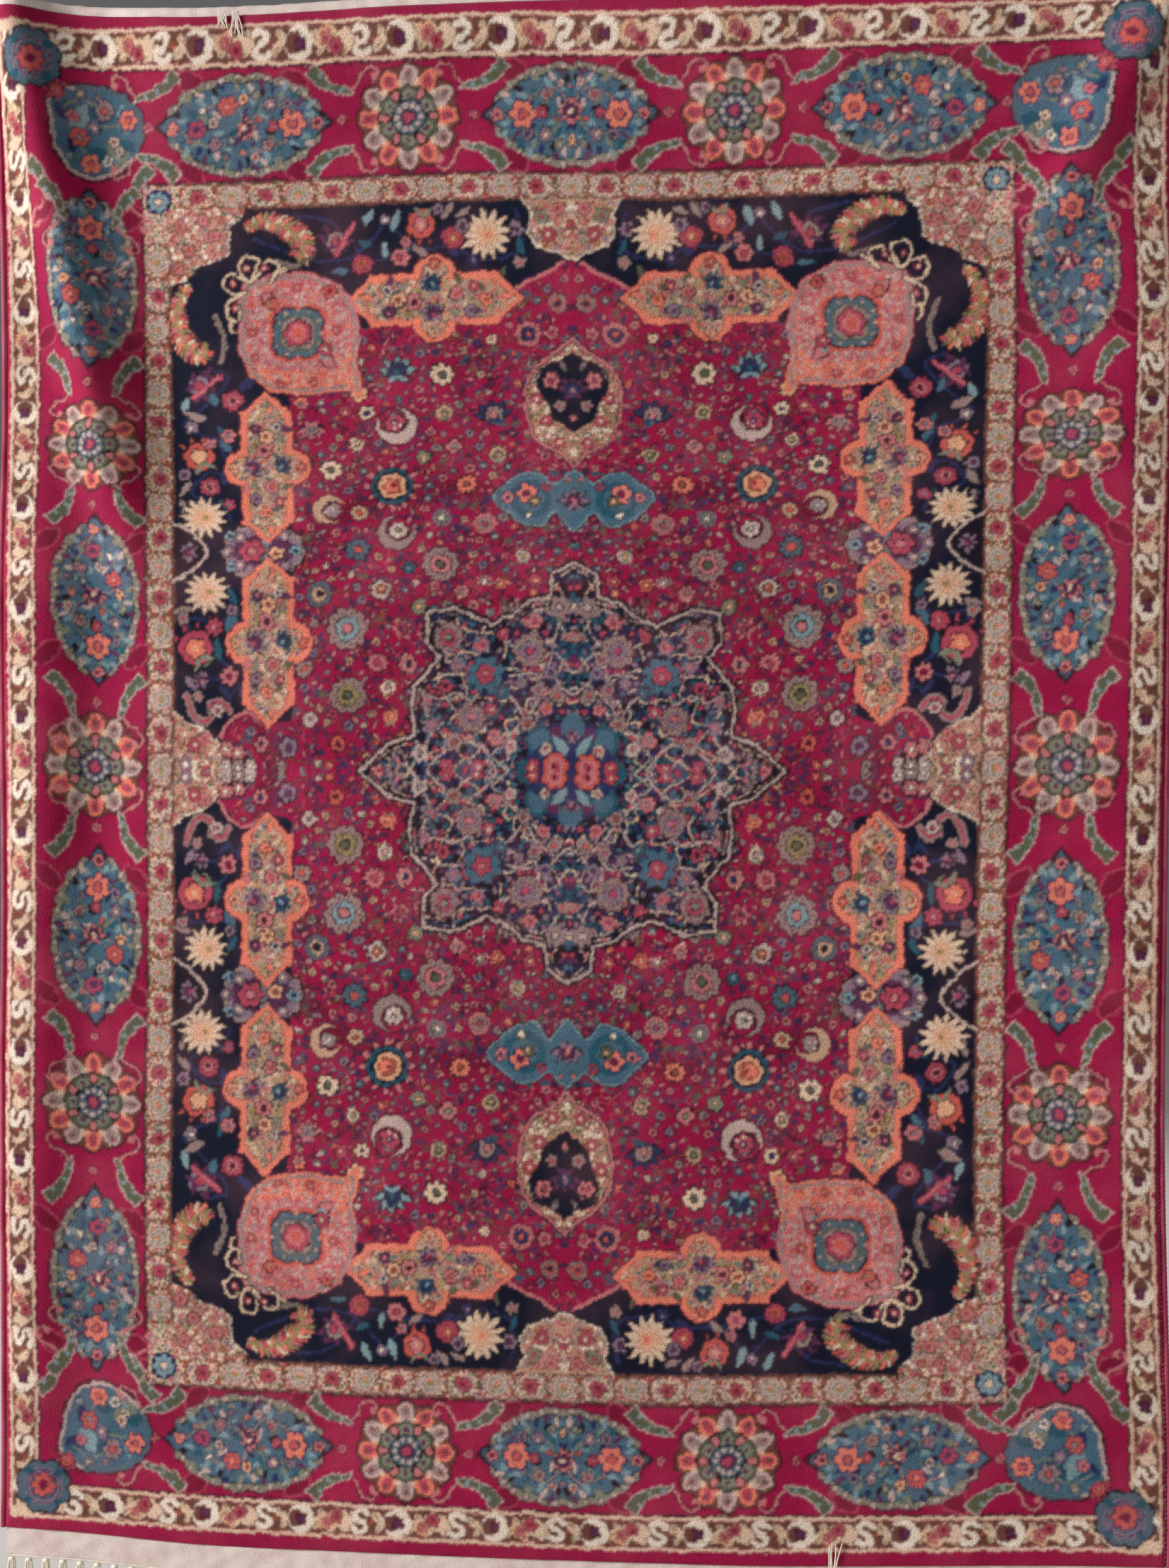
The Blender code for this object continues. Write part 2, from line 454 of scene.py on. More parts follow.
def moonflower(size: float, horn: Wool, bloom: Wool, heart: Wool) -> Motif:
    """Return a flower held in a crescent that opens along x."""
    return [
        Layer(MAROON, moon(1.1 * size, 0.62 * size, 0.34 * size)),
        Layer(horn, moon(size, 0.74 * size, 0.3 * size)),
        Layer(SHADOW, petals(7, 0.58 * size, 0.48 * size), (0.18 * size, 0.0)),
        Layer(bloom, petals(7, 0.5 * size, 0.36 * size), (0.18 * size, 0.0)),
        Layer(heart, disc(0.2 * size), (0.2 * size, 0.0)),
        *around(3, 0.2 * size, IVORY, disc(0.07 * size)),
    ]


def sunwheel(size: float) -> Motif:
    """Return the toothed round palmette, dark with pale buds round it."""
    return [
        *around(12, 0.9 * size, MAROON, oval(0.28 * size, 0.17 * size)),
        *around(12, 0.94 * size, PINK, oval(0.17 * size, 0.1 * size)), Layer(SHADOW, disc(0.84 * size)),
        Layer(TEAL, petals(12, 0.82 * size, 0.7 * size)), Layer(NAVY, disc(0.66 * size)),
        Layer(PEACH, petals(7, 0.56 * size, 0.48 * size)),
        Layer(RUST, petals(5, 0.42 * size, 0.3 * size)),
        Layer(SALMON, disc(0.24 * size), (0.06 * size, 0.0)),
        Layer(MADDER, disc(0.11 * size), (-0.06 * size, 0.04 * size)),
    ]


def fruit(size: float, skin: Wool, core: Wool, rim: Wool = SHADOW) -> Motif:
    """Return a pomegranate whose crown points along x."""
    return [
        *fan(3, 70.0, rim, leaf(1.6 * size, 0.55 * size)),
        *fan(3, 70.0, skin, leaf(1.45 * size, 0.36 * size)), Layer(rim, disc(1.06 * size)),
        Layer(skin, petals(6, 0.94 * size, 0.84 * size)),
        Layer(rim, petals(5, 0.62 * size, 0.46 * size)),
        Layer(core, petals(5, 0.52 * size, 0.36 * size)), Layer(PEACH, disc(0.18 * size)),
        *fan(2, 260.0, SAGE, leaf(0.9 * size, 0.3 * size), -0.5 * size),
    ]


def bud(size: float, tip: Wool, cup: Wool = MOSS) -> Motif:
    """Return a closed bud on its cup, pointing along x."""
    return [
        Layer(SHADOW, leaf(1.5 * size, 1.1 * size), (-0.55 * size, 0.0)),
        Layer(tip, leaf(1.3 * size, 0.84 * size), (-0.45 * size, 0.0)),
        Layer(cup, leaf(0.8 * size, 0.6 * size), (-0.7 * size, 0.0)),
    ]


def sprig(size: float, wool: Wool) -> Motif:
    """Return two small leaves on a stalk."""
    return fan(3, 120.0, wool, leaf(size, 0.36 * size))


def mum(size: float, outer: Wool, inner: Wool, heart: Wool) -> Motif:
    """Return a shaggy chrysanthemum."""
    return [
        *around(13, 0.3 * size, SHADOW, leaf(0.98 * size, 0.4 * size)), Layer(SHADOW, disc(0.8 * size)),
        *around(13, 0.3 * size, outer, leaf(0.84 * size, 0.28 * size)), Layer(outer, disc(0.62 * size)),
        *around(11, 0.16 * size, SAND, leaf(0.56 * size, 0.16 * size), 12.0),
        *around(11, 0.1 * size, inner, leaf(0.5 * size, 0.13 * size), 12.0),
        Layer(inner, disc(0.3 * size), (-0.1 * size, 0.0)),
        Layer(heart, petals(5, 0.16 * size, 0.1 * size), (-0.12 * size, 0.0)),
    ]


def plume(course: Sequence[Point], size: float) -> Motif:
    """Return a curling feather with teeth on both edges.

    Args:
        course: The few points that its quill runs through.
        size: Length of its longest teeth.

    Returns:
        The layers.
    """
    quill = rounded(course, 4)
    wools = (CORAL, CREAM, SALMON, OLIVE, PINK)
    layers = []
    for step, ((x, y), (next_x, next_y)) in enumerate(zip(quill, quill[1:])):
        heading = math.degrees(math.atan2(next_y - y, next_x - x))
        reach = size * (0.45 + 0.55 * math.sin(math.pi * step / len(quill)))
        for side in (-1, 1):
            turn = heading + 58.0 * side
            layers.append(Layer(SHADOW, leaf(1.15 * reach, 0.6 * reach), (x, y), turn))
            layers.append(Layer(wools[(step + side) % len(wools)],
                                leaf(reach, 0.42 * reach), (x, y), turn))
    return [*layers, Layer(OLIVE, tendril(course, 0.2 * size))]


# --------------------------------------------------------------- the design


class Ground(Enum):
    """How far each band of the rug runs from the middle, across and along."""

    EDGE = (740.0, 1000.0)
    OUTER_GUARD = (735.0, 982.0)
    MAIN_BORDER = (697.0, 938.0)
    INNER_GUARD = (550.0, 797.0)
    NAVY_BAND = (514.0, 758.0)
    FIELD = (360.0, 601.0)


FIELD_DYES = (CRIMSON, MADDER)
STEM_DYES = (MAROON, RUST, PLUM, INDIGO, ROSE, TEAL)


@dataclass
class Quarter:
    """The quarter of the design that is drawn, and turned over for the rest.

    Args:
        seed: Seed for the small scattered flowers.
    """

    seed: int = 11
    paper: Cartoon = field(default_factory=lambda: Cartoon(740, 1000, CRIMSON))

    def draw_all(self) -> Array:
        """Draw every part of the quarter, and return its squares."""
        self.grounds()
        self.field_vines()
        self.field_flowers()
        self.scattered_flowers()
        self.pendant()
        self.twin_cartouche()
        self.medallion()
        self.navy_flowers()
        self.dome_and_arch()
        self.purple_rosettes()
        self.cartouches()
        self.roundel()
        self.corner_spandrel()
        self.main_border()
        self.inner_guard()
        return self.paper.squares

    def frame_of(self, ground: Ground, wool: Wool) -> None:
        """Fill everything within a band's outer edge."""
        self.paper.lay(wool, block(*ground.value))

    def grounds(self) -> None:
        """Fill the bands, from the outermost in."""
        self.frame_of(Ground.OUTER_GUARD, CREAM)
        self.frame_of(Ground.MAIN_BORDER, MAROON)
        self.paper.lay(CRIMSON, block(694.0, 935.0))
        self.paper.lay(MAROON, block(553.0, 800.0))
        self.frame_of(Ground.INNER_GUARD, CREAM)
        self.paper.lay(BROWN, block(516.0, 760.0))
        self.frame_of(Ground.NAVY_BAND, NAVY)
        bay = (
            (-8.0, -8.0), (436.0, -8.0), (454.0, 38.0), (424.0, 70.0), (392.0, 52.0),
            (360.0, 60.0), (360.0, 601.0), (94.0, 601.0), (76.0, 640.0), (58.0, 655.0),
            (30.0, 668.0), (9.0, 682.0), (-8.0, 690.0),
        )
        self.paper.lay(CRIMSON, patch(*bay))
        self.paper.lay(PINK, tendril(bay[1:5], 4.5))
        self.paper.lay(PINK, tendril(bay[7:], 4.5))
        self.paper.lay(MADDER, hoop(236.0, 262.0), (160.0, 120.0), on=(CRIMSON,))

    # ------------------------------------------------------------- the field

    def field_vines(self) -> None:
        """Run thin spiralling stems through the field."""
        stems = (
            ((0, 300), (60, 235), (120, 260), (170, 262), (200, 200), (290, 178), (340, 220)),
            ((230, 372), (190, 320), (222, 300), (275, 283), (330, 300), (345, 250)),
            ((230, 372), (270, 335), (310, 340), (350, 300)),
            ((230, 372), (180, 400), (135, 375), (110, 318), (65, 272)),
            ((230, 372), (265, 400), (310, 398), (345, 440), (330, 460), (300, 480)),
            ((222, 465), (160, 480), (95, 475), (70, 430), (95, 415), (140, 430), (190, 415)),
            ((222, 465), (270, 435), (268, 510), (225, 535), (165, 533), (120, 560), (55, 590)),
            ((55, 590), (100, 582), (140, 585), (200, 570), (262, 560), (255, 520)),
            ((5, 640), (35, 635), (70, 625), (60, 600), (20, 590)),
            ((290, 178), (250, 130), (210, 130), (240, 95), (290, 90), (335, 62), (365, 27)),
            ((290, 90), (300, 30), (270, 20), (340, 10), (395, 25), (425, 45)),
            ((325, 220), (240, 225), (200, 200), (145, 218), (115, 235)),
            ((345, 120), (325, 150), (345, 190), (325, 220), (345, 260)),
        )
        for stem in stems:
            self.paper.lay(MAROON, tendril(stem, 3.4), on=FIELD_DYES)
            self.paper.lay(RUST, tendril(stem, 1.3), on=(MAROON,))

    def field_flowers(self) -> None:
        """Set the chief flowers of the field in their places."""
        flowers = (
            (wheel(17, PINK, INDIGO, CORAL), (55, 588)), (daisy(15, CREAM, MOSS, 8), (165, 535)),
            (lotus(24, SKY, INDIGO, TEAL), (222, 540), 90), (daisy(11, PEACH, CREAM, 5), (270, 511)),
            (lotus(25, INDIGO, STONE, PINK), (100, 476), 80), (fruit(11, SAND, MOSS), (163, 480), 90),
            (moonflower(26, DOVE, ROSE, PLUM), (224, 463), 60),
            (lotus(19, PINK, STONE, LILAC), (333, 462), -90), (fruit(11, SAND, MOSS), (96, 418), 100),
            (daisy(11, PINK, SAGE, 4), (152, 430)), (daisy(10, SAGE, PEACH, 5), (190, 415)),
            (daisy(13, SALMON, RUST, 10), (137, 375)), (sunwheel(33), (231, 374)),
            (daisy(14, CREAM, MOSS, 7), (309, 400)), (daisy(11, SAND, CORAL, 8), (273, 336)),
            (moonflower(21, SAND, STONE, LILAC), (312, 342), 200),
            (wheel(15, PINK, STONE, ROSE), (113, 318)), (wheel(13, LILAC, SAGE, IVORY), (168, 326)),
            (fruit(10, DOVE, OLIVE), (65, 272), 90),
            (moonflower(24, STONE, DOVE, MOSS), (226, 306), 120),
            (daisy(16, SLATE, CORAL, 9, NAVY), (275, 283)), (wheel(24, STONE, PINK, MOSS), (170, 260)),
            (fruit(13, DOVE, RUST), (246, 226), 20), (wheel(17, SLATE, SAND, NAVY), (325, 221)),
            (wheel(26, STONE, SKY, PINK), (290, 178)), (lotus(16, PINK, ROSE, PLUM), (220, 176), 150),
            (daisy(12, PINK, INDIGO, 6), (211, 132)), (daisy(13, PINK, ROSE, 10, MAROON), (250, 134)),
            (fruit(10, CREAM, LILAC), (237, 102), -90), (wheel(24, STONE, OLIVE, MOSS), (288, 92)),
            (fruit(10, SALMON, CORAL), (233, 62), 90), (daisy(10, DOVE, LILAC, 4), (336, 60)),
            (daisy(12, LILAC, PLUM, 5), (364, 28)), (daisy(10, SAGE, PEACH, 8), (197, 203)),
            (daisy(10, PINK, STONE, 6), (143, 221)), (lotus(12, PINK, STONE, IVORY), (114, 235), 70),
            (daisy(9, CORAL, PEACH, 6), (92, 232)), (daisy(10, CORAL, MAROON, 7), (300, 32)),
            (daisy(9, ROSE, PEACH, 5), (50, 237)), (daisy(9, TEAL, SKY, 6), (210, 256)),
            (daisy(12, STONE, CORAL, 8), (345, 128)), (daisy(10, PINK, INDIGO, 6), (400, 32)),
            (wheel(12, STONE, CORAL, INDIGO), (18, 628)), (daisy(9, PINK, ROSE, 5), (25, 590)),
            (daisy(7, CREAM, PEACH, 6), (101, 582)),
            (moonflower(14, TEAL, PINK, CORAL), (345, 545), 250), (bud(10, PINK), (58, 448), 90),
            (daisy(9, PINK, LILAC, 6), (345, 500)), (daisy(9, ROSE, PEACH, 6), (290, 485)),
            (daisy(10, CREAM, INDIGO, 6), (262, 483)), (fruit(9, CREAM, MOSS), (275, 437), -60),
        )
        for motif, place, *turn in flowers:
            self.paper.draw(motif, place, *turn)

    def scattered_flowers(self) -> None:
        """Scatter buds, dots and leaves over what is left bare of the field."""
        draws = np.random.default_rng(self.seed)
        small = (
            daisy(5.5, PINK, MAROON, 5), daisy(5.0, SAND, RUST, 4),
            daisy(6.0, LILAC, INDIGO, 5), daisy(5.5, CORAL, PEACH, 6),
            daisy(6.0, STONE, MOSS, 6), daisy(5.0, SLATE, DOVE, 5),
            bud(7.0, PINK), bud(7.5, CORAL, TEAL), bud(7.0, LILAC),
            bud(8.0, DOVE), bud(7.0, ROSE, INDIGO),
            sprig(11.0, PLUM), sprig(11.0, TEAL), sprig(10.0, MOSS),
            sprig(10.0, RUST), sprig(11.0, INDIGO), sprig(10.0, PLUM),
            sprig(12.0, MAROON), sprig(12.0, PLUM),
        )
        tiny = (PINK, PLUM, STONE, INDIGO, ROSE, ROSE, PLUM)
        coil = tendril(((0, 0), (7, 6), (14, 4), (16, -3), (11, -6)), 1.9)
        for number in range(900):
            lay_at = (draws.uniform(0, 450), draws.uniform(0, 676))
            wool = (PLUM, INDIGO, MAROON, ROSE, TEAL)[number % 5]
            self.paper.lay(wool, coil, lay_at, draws.uniform(0, 360), FIELD_DYES)
        for room, tries, chosen in ((8.5, 2600, True), (4.5, 3600, False)):
            angles = np.radians(np.arange(0, 360, 30))
            for _ in range(tries):
                x, y = draws.uniform(0, 450), draws.uniform(0, 676)
                turn, pick = draws.uniform(0, 360), draws.integers(0, len(small))
                rim = ((x + room * math.cos(a), y + room * math.sin(a)) for a in angles)
                clear = self.paper.is_wool((x, y), *FIELD_DYES, *STEM_DYES) and all(
                    self.paper.is_wool((abs(px), abs(py)), *FIELD_DYES, *STEM_DYES)
                    for px, py in rim
                )
                if not clear:
                    continue
                if chosen:
                    self.paper.draw(small[pick], (x, y), turn)
                else:
                    self.paper.lay(MAROON, disc(4.2), (x, y))
                    self.paper.lay(tiny[pick % len(tiny)], oval(3.1, 2.1), (x, y), turn)

    def pendant(self) -> None:
        """Draw the shield that hangs on the long axis of the field."""
        shield = ((-9, 590), (0, 583), (18, 566), (42, 548), (58, 522), (60, 492), (54, 458),
                  (42, 436), (16, 420), (0, 400), (-9, 396))
        self.paper.lay(SAND, patch(*shield))
        self.speckle(patch(*shield), (0, 60), (400, 583), 5.4,
                     (RUST, IVORY, MOSS, ROSE), (SAND,))
        self.paper.lay(SHADOW, tendril(shield[1:-1], 7.0))
        self.paper.lay(PINK, tendril(shield[1:-1], 4.0))
        well = ((-9, 568), (0, 564), (16, 552), (36, 545), (45, 524), (34, 498), (26, 474),
                (14, 464), (0, 452), (-9, 450))
        self.paper.lay(NAVY, patch(*well))
        self.paper.lay(SHADOW, tendril(well[1:-1], 3.0))
        self.paper.draw(lotus(22, PLUM, INDIGO, LILAC), (0, 512), 90)
        self.paper.draw(daisy(11, PINK, ROSE, 6), (27, 526))
        self.paper.draw(bud(9, LILAC), (12, 545), 70)
        self.paper.draw(daisy(8, STONE, ROSE, 5), (17, 490))
        self.paper.draw(bud(9, PINK), (0, 474), -90)
        for place in ((34, 468), (18, 436), (46, 500)):
            self.paper.draw(daisy(8, ROSE, CREAM, 6, BROWN), place)

    def twin_cartouche(self) -> None:
        """Draw the blue cartouche of two lobes between shield and medallion."""
        lobe = ((-9, 404), (6, 392), (24, 376), (40, 388), (62, 392), (82, 378), (102, 355),
                (82, 332), (62, 318), (40, 316), (24, 336), (6, 314), (-9, 304))
        self.paper.lay(SHADOW, tendril(lobe, 5.0))
        self.paper.lay(BLUE, patch(*lobe))
        self.paper.lay(TEAL, hoop(17, 27), (55, 353), on=(BLUE,))
        self.paper.lay(SKY, tendril(lobe, 2.0))
        self.paper.draw(lotus(20, LILAC, PLUM, PINK), (0, 350), 90)
        self.paper.draw(daisy(13, SALMON, MADDER, 5, INDIGO), (60, 362))
        self.paper.draw(daisy(8, MOSS, PEACH, 5), (50, 350))
        self.paper.draw(bud(9, IVORY), (58, 332), -80)
        self.paper.draw(daisy(8, PINK, INDIGO, 5), (84, 356))
        self.paper.draw(bud(8, PINK), (8, 380), 90)
        self.paper.draw(daisy(6, ROSE, TEAL, 5), (34, 372))

    # --------------------------------------------------------- the medallion

    def medallion(self) -> None:
        """Draw the sixteen-pointed star at the middle, with its strapwork."""
        star = ((-9, 270), (0, 264), (28, 246), (31, 216), (58, 209), (72, 196), (106, 181),
                (136, 196), (152, 201), (186, 195), (187, 161), (171, 141), (186, 120),
                (202, 104), (206, 75), (201, 41), (236, 31), (246, 20), (272, 0), (276, -9))
        corners = (*star, (-9, -9))
        lay, draw = self.paper.lay, self.paper.draw
        lay(MAROON, line(star, 12.0), on=FIELD_DYES)
        lay(INDIGO, patch(*corners))
        grounds = (INDIGO, NAVY, SHADOW, TEAL, PLUM)
        for radius, wool in ((240, NAVY), (150, PLUM), (128, NAVY)):
            lay(wool, petals(16, radius, 0.86 * radius), on=grounds)
        for place, reach in (((160, 166), 26), ((0, 225), 20), ((55, 175), 24), ((235, 8), 20),
                             ((190, 80), 24), ((110, 165), 20)):
            lay(SHADOW, disc(reach), place, on=grounds)
        for radius in (92, 136, 184, 232):
            for depth in (-0.11, 0.11):
                lay(SHADOW, wreath(radius, 16, depth, 6.0), on=grounds)
                lay(CREAM, wreath(radius, 16, depth, 2.4), on=grounds)
        straps = (
            ((12, 108), (36, 92), (60, 60), (88, 34), (108, 10)),
            ((0, 92), (22, 112), (30, 140), (12, 170), (0, 180)),
            ((96, 0), (112, 24), (142, 34), (172, 14), (184, 0)),
            ((60, 60), (78, 88), (112, 96), (128, 80), (120, 44)),
            ((60, 60), (40, 96), (52, 120), (84, 118), (104, 140), (120, 168)),
            ((128, 80), (150, 92), (172, 84), (196, 100)),
            ((0, 200), (24, 196), (44, 206)), ((140, 150), (160, 136), (176, 150)),
            ((196, 60), (180, 44), (196, 20), (226, 14)),
        )
        for strap in straps:
            lay(SHADOW, tendril(strap, 6.0))
            lay(DOVE, tendril(strap, 2.4))
        flowers = (
            (wheel(21, STONE, LILAC, ROSE), (56, 150)), (wheel(19, STONE, ROSE, SAGE), (160, 165)),
            (wheel(18, STONE, LILAC, PINK), (130, 62)), (daisy(10, PINK, ROSE, 6), (50, 186)),
            (daisy(14, STONE, DOVE, 7), (18, 203)), (daisy(10, DOVE, PINK, 6), (45, 206)),
            (lotus(18, STONE, LILAC, PINK), (78, 192), 120), (daisy(9, ROSE, PINK, 5), (91, 171)),
            (lotus(15, LILAC, PINK, PLUM), (116, 156), 20), (daisy(10, LILAC, PINK, 6), (148, 130)),
            (daisy(9, ROSE, MAROON, 6), (162, 102)), (lotus(15, STONE, LILAC, PINK), (190, 86), -60),
            (daisy(8, LILAC, PINK, 6), (180, 52)), (daisy(11, DOVE, STONE, 5), (194, 20)),
            (daisy(11, STONE, RUST, 6), (150, 32)), (lotus(17, STONE, PLUM, PINK), (222, 10), 60),
            (daisy(9, PINK, STONE, 5), (250, 8)), (daisy(10, STONE, CORAL, 6), (20, 92)),
            (daisy(9, PINK, CORAL, 5), (34, 74)), (daisy(10, STONE, RUST, 6), (58, 56)),
            (daisy(9, DOVE, PINK, 5), (78, 28)), (daisy(10, PINK, STONE, 6), (98, 38)),
            (daisy(10, STONE, ROSE, 6), (44, 100)), (daisy(8, STONE, CORAL, 6), (8, 168)),
            (daisy(8, ROSE, DOVE, 6), (120, 4)), (daisy(9, ROSE, PINK, 6), (160, 5)),
            (lotus(15, TEAL, INDIGO, BLUE), (12, 150), 100), (lotus(14, TEAL, BLUE, SKY), (88, 96), 30),
            (daisy(9, LILAC, PLUM, 6), (30, 122)), (daisy(8, ROSE, DOVE, 5), (104, 72)),
            (daisy(8, LILAC, STONE, 5), (66, 108)),
        )
        lay(SHADOW, petals(8, 30, 24), (112, 118))
        lay(BLUE, petals(8, 25, 17, 0.4), (112, 118))
        draw(daisy(12, ROSE, PINK, 5), (112, 118))
        for motif, place, *turn in flowers:
            draw(motif, place, *turn)
        self.speckle(patch(*corners), (0, 270), (0, 262), 9.0,
                     (LILAC, PLUM, BLUE, TEAL, INDIGO, ROSE,
                      SHADOW),
                     (PLUM, INDIGO, NAVY, SHADOW))
        lay(SHADOW, line([(0.955 * x, 0.955 * y) for x, y in star], 3.4))
        lay(SHADOW, line(star, 9.0))
        lay(DOVE, line(star, 3.2))
        self.heart()

    def heart(self) -> None:
        """Draw the lobed teal flower at the very middle, with its roses."""
        lay, draw = self.paper.lay, self.paper.draw
        lay(SHADOW, petals(8, 66, 54, math.radians(22.5)))
        lay(INDIGO, petals(8, 62, 50, math.radians(22.5)))
        lay(TEAL, disc(19), (41, 35))
        lay(BLUE, disc(13), (42, 36))
        lay(BLUE, disc(16), (0, 52))
        lay(TEAL, disc(15), (56, 0))
        lay(PLUM, disc(8), (22, 44))
        lay(SKY, leaf(30, 12), (6, 20), 50)
        lay(INDIGO, leaf(28, 12), (30, 30), -30)
        for size, wool in ((18, MAROON), (16, CORAL), (11, PINK), (6, ROSE)):
            lay(wool, petals(7, size, 0.76 * size, 0.3), (21, 6))
        lay(MAROON, disc(2.6), (22, 6))
        draw(lotus(11, LILAC, PLUM, PINK), (0, 40), 90)
        draw(daisy(8, ROSE, PEACH, 5, MAROON), (50, 6))
        draw(daisy(7, DOVE, CORAL, 5), (33, 26))

    def speckle(self, within: Shape, across: Point, along: Point, pitch: float,
                wools: Sequence[Wool], on: Sequence[Wool]) -> None:
        """Sprinkle a ground with tiny four-petalled flowers.

        Args:
            within: The region.
            across: Its least and greatest place across.
            along: Its least and greatest place along.
            pitch: Distance between the flowers.
            wools: The dyes they take in turn.
            on: The dyes that they may cover.
        """
        draws = np.random.default_rng(self.seed + int(across[0] + along[1]))
        columns = np.arange(across[0], across[1], pitch)
        for row, y in enumerate(np.arange(along[0], along[1], 0.87 * pitch)):
            for x in columns + 0.5 * pitch * (row % 2):
                place = (x + draws.uniform(-1.2, 1.2), y + draws.uniform(-1.2, 1.2))
                wool = wools[draws.integers(0, len(wools))]
                turn = draws.uniform(0, 90)
                if within.covers(np.array(place[0]), np.array(place[1])):
                    self.paper.lay(wool, petals(4, 0.44 * pitch, 0.2 * pitch), place, turn, on)

    # ---------------------------------------------------------- the navy band

    def navy_flowers(self) -> None:
        """Fill the navy band with its leaves, buds and big blooms."""
        lay, draw = self.paper.lay, self.paper.draw
        navy = (NAVY,)
        stems = (
            ((70, 745), (62, 715), (75, 690), (115, 684), (150, 700), (190, 700), (235, 735)),
            ((235, 735), (262, 705), (290, 690), (330, 690), (360, 700), (405, 720)),
            ((190, 700), (230, 690), (262, 690), (300, 735), (350, 748)),
            ((500, 640), (470, 560), (440, 540), (470, 500), (500, 470), (455, 450)),
            ((455, 450), (440, 400), (470, 400), (490, 370), (450, 350), (440, 330)),
            ((440, 215), (450, 190), (500, 190), (462, 150), (440, 120), (480, 110), (500, 90)),
            ((500, 90), (480, 55), (450, 80), (436, 100)),
        )
        for stem in stems:
            lay(INDIGO, tendril(stem, 3.4), on=navy)
        leaves = (
            (205, 712, 26, -70, BLUE), (226, 722, 30, 100, SKY),
            (182, 690, 24, 30, STONE), (60, 690, 24, 60, TEAL),
            (84, 676, 22, -70, MOSS), (140, 690, 22, 20, INDIGO),
            (128, 748, 22, -30, STONE), (150, 755, 26, -60, STONE),
            (236, 690, 22, 80, SKY), (262, 730, 26, 110, SKY),
            (252, 706, 22, 10, TEAL), (285, 700, 24, 60, TEAL),
            (282, 676, 24, -10, BLUE), (318, 730, 26, 200, PLUM),
            (425, 520, 34, 130, INDIGO), (455, 500, 34, 60, BLUE),
            (470, 478, 34, 20, STONE), (500, 490, 26, 100, SKY),
            (452, 470, 26, 250, TEAL), (438, 430, 30, 60, BLUE),
            (446, 380, 28, 80, INDIGO), (492, 388, 28, -60, STONE),
            (436, 345, 26, 30, TEAL), (505, 360, 24, 250, STONE),
            (432, 208, 26, 60, TEAL), (492, 205, 26, -20, STONE),
            (446, 175, 34, 110, BLUE), (456, 140, 30, 80, TEAL),
            (476, 130, 22, 120, SAGE), (440, 90, 24, 40, INDIGO),
            (500, 118, 24, 230, LILAC), (430, 145, 24, 60, INDIGO),
            (428, 190, 26, 250, TEAL), (430, 110, 26, 250, INDIGO),
        )
        for x, y, length, turn, wool in leaves:
            lay(SHADOW, leaf(length + 3, 0.5 * length), (x, y), turn, navy)
            lay(wool, leaf(length, 0.36 * length, 3.0), (x, y), turn)
        blooms = (
            (daisy(10, LILAC, PLUM, 6), (70, 722)), (mum(30, CREAM, PEACH, SALMON), (108, 715)),
            (wheel(14, ROSE, CORAL, PEACH), (150, 712)), (daisy(9, LILAC, PLUM, 6), (138, 726)),
            (daisy(8, INDIGO, LILAC, 6), (125, 683)), (fruit(19, CORAL, PINK), (190, 730), -80),
            (daisy(12, PINK, ROSE, 6), (217, 689)), (wheel(13, ROSE, CORAL, RUST), (266, 682)),
            (daisy(7, LILAC, IVORY, 5), (236, 738)), (daisy(7, PINK, LILAC, 5), (210, 709)),
            (daisy(7, LILAC, PLUM, 5), (168, 748)), (daisy(8, STONE, PINK, 5), (66, 680)),
            (wheel(14, ROSE, PINK, MAROON), (434, 507)), (daisy(10, PINK, LILAC, 6), (440, 455)),
            (daisy(9, LILAC, IVORY, 5), (490, 468)), (fruit(22, CORAL, PEACH), (480, 425), 70),
            (daisy(9, PINK, STONE, 5), (465, 443)), (wheel(13, ROSE, PINK, MAROON), (467, 379)),
            (daisy(9, LILAC, PLUM, 6), (500, 397)), (daisy(8, ROSE, LILAC, 5), (441, 353)),
            (mum(28, CREAM, PEACH, OLIVE), (476, 334)), (mum(27, CREAM, PEACH, OLIVE), (472, 226)),
            (daisy(12, ROSE, PINK, 7), (462, 182)), (fruit(24, ROSE, SALMON), (487, 155), 60),
            (daisy(12, PINK, MADDER, 7), (443, 118)), (daisy(7, LILAC, PLUM, 5), (440, 202)),
            (lotus(13, LILAC, PLUM, PINK), (478, 112), 40), (daisy(8, STONE, ROSE, 5), (503, 192)),
        )
        for motif, place, *turn in blooms:
            draw(motif, place, *turn)
        for quill in (
            ((416, 734), (394, 742), (370, 736), (350, 722), (340, 704), (348, 694)),
            ((490, 662), (506, 638), (506, 610), (494, 586), (478, 572), (466, 578)),
        ):
            draw(plume(quill, 21.0), (0.0, 0.0))
        for quill in (((330, 696), (350, 684), (376, 690)), ((450, 560), (444, 590), (456, 622))):
            lay(STONE, tendril(quill, 6.0), on=navy)
            lay(MOSS, tendril(quill, 2.0))
        draw(lotus(26, PLUM, STONE, ROSE), (300, 712), 100)
        draw(lotus(28, PLUM, LILAC, ROSE), (478, 530), 200)
        for tip, foot in (((276, 735), (300, 695)), ((450, 541), (486, 512))):
            lay(ROSE, line((tip, foot), 7.0))
            lay(PINK, line((tip, foot), 2.0))
        scroll = ((442, 72), (452, 84), (466, 80), (466, 64), (480, 58), (492, 70), (498, 92))
        for wool, width in ((SHADOW, 15.0), (STONE, 10.0), (ROSE, 4.0)):
            lay(wool, tendril(scroll, width))
        draw(daisy(9, DOVE, ROSE, 6), (458, 72))
        draw(daisy(8, STONE, PINK, 6), (484, 92))

